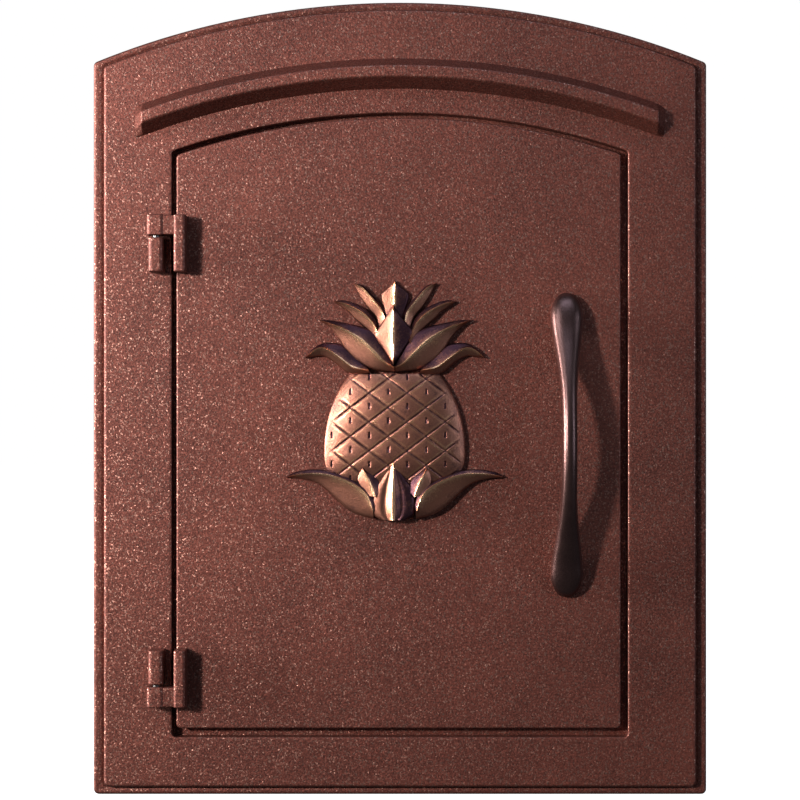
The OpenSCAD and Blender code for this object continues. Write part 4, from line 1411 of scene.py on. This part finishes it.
class MAILBOX_OT_stage(Operator):
    """Pale floor and backdrop, soft lamps and the camera"""
    bl_idname = "mailbox.stage"
    bl_label = "Stage"

    def execute(self, context):
        size = context.scene.mailbox_stage
        scene = context.scene
        front_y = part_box("door_panel")[0][1]
        target = Vector((0.0, front_y, size.view_height))
        camera = bpy.data.cameras.new("camera")
        camera.sensor_width = 36.0
        camera.lens = camera.sensor_width * size.camera_distance / size.view_width
        camera.clip_start, camera.clip_end = 0.01, 50.0
        eye = link(bpy.data.objects.new("camera", camera))
        eye.location = (0.0, front_y - size.camera_distance, size.view_height)
        eye.rotation_euler = (math.pi / 2, 0.0, 0.0)
        scene.camera = eye

        lamp("key", 0.13, 0.13, size.key_power, (-0.990, -1.142, 0.465), target,
             (1.0, 0.96, 0.93))
        lamp("sheen", 0.30, 0.75, size.sheen_power, (-0.80, -1.02, 0.80), target,
             (0.86, 0.92, 1.0), diffuse=False)
        lamp("edge", 0.35, 0.8, size.edge_power, (-2.2, -0.35, 0.42), target,
             (1.0, 0.97, 0.94), diffuse=False)
        lamp("top", 0.9, 0.5, size.top_power, (0.1, -0.8, 1.5), target, (0.62, 0.78, 1.0))
        lamp("side", 0.5, 0.9, size.side_power, (1.3, -0.9, 0.45), target, (0.66, 0.82, 1.0))
        lamp("back_fill", 1.4, 1.4, size.back_power, (0.4, 2.0, 1.6), target, (1.0, 1.0, 1.0))

        world = bpy.data.worlds.new("studio")
        world.use_nodes = True
        shine = world.node_tree.nodes["Background"].inputs
        shine["Color"].default_value, shine["Strength"].default_value = SKY_COLOUR, size.sky
        scene.world = world
        scene.view_settings.view_transform = "Standard"

        floor_low = CAD_BOX[0][2] - 0.0005
        self.floor(floor_low)
        self.backdrop(floor_low)
        return {"FINISHED"}

    def floor(self, height):
        """A pale round floor."""
        bm = bmesh.new()
        bmesh.ops.create_circle(bm, cap_ends=True, radius=6.0, segments=96)
        bmesh.ops.translate(bm, verts=bm.verts, vec=(0.0, 0.0, height))
        piece = object_from("floor", bm)
        piece.data.materials.append(plain("pale_floor", (0.85, 0.85, 0.85), 0.99))
        piece.visible_glossy = piece.visible_diffuse = False

    def backdrop(self, height):
        """A white wall all round that only the camera sees."""
        bm = bmesh.new()
        bmesh.ops.create_uvsphere(bm, u_segments=64, v_segments=32, radius=6.5)
        bmesh.ops.translate(bm, verts=bm.verts, vec=(0.0, 0.0, height))
        piece = object_from("backdrop", bm)
        piece.data.materials.append(plain("white_backdrop", (0.0, 0.0, 0.0), 1.0))
        piece.visible_diffuse = piece.visible_glossy = False
        piece.visible_transmission = piece.visible_shadow = False


class MAILBOX_PT_panel(Panel):
    """Lists the builders of the mailbox in the sidebar"""
    bl_idname = "MAILBOX_PT_panel"
    bl_label = "Mailbox"
    bl_space_type = "VIEW_3D"
    bl_region_type = "UI"
    bl_category = "Mailbox"

    def draw(self, context):
        for operator in OPERATORS:
            self.layout.operator(operator.bl_idname)


GROUPS = (
    ("mailbox_front", MailboxFrontSizes),
    ("mailbox_handle", MailboxHandleSizes),
    ("mailbox_emblem", MailboxEmblemSizes),
    ("mailbox_colours", MailboxColours),
    ("mailbox_stage", MailboxStageSizes),
)
OPERATORS = (
    MAILBOX_OT_stage,
    MAILBOX_OT_faceplate,
    MAILBOX_OT_door,
    MAILBOX_OT_hinges,
    MAILBOX_OT_handle,
    MAILBOX_OT_emblem,
    MAILBOX_OT_fasteners,
    MAILBOX_OT_catch,
    MAILBOX_OT_box,
)


def register():
    """Registers the sizes, the operators and the panel."""
    for name, group in GROUPS:
        bpy.utils.register_class(group)
        setattr(bpy.types.Scene, name, PointerProperty(type=group))
    for operator in OPERATORS:
        bpy.utils.register_class(operator)
    bpy.utils.register_class(MAILBOX_PT_panel)


def unregister():
    """Takes them away again."""
    bpy.utils.unregister_class(MAILBOX_PT_panel)
    for operator in reversed(OPERATORS):
        bpy.utils.unregister_class(operator)
    for name, group in reversed(GROUPS):
        delattr(bpy.types.Scene, name)
        bpy.utils.unregister_class(group)


def main():
    register()
    for operator in OPERATORS:
        area, name = operator.bl_idname.split(".")
        getattr(getattr(bpy.ops, area), name)()


if __name__ == "__main__":
    main()
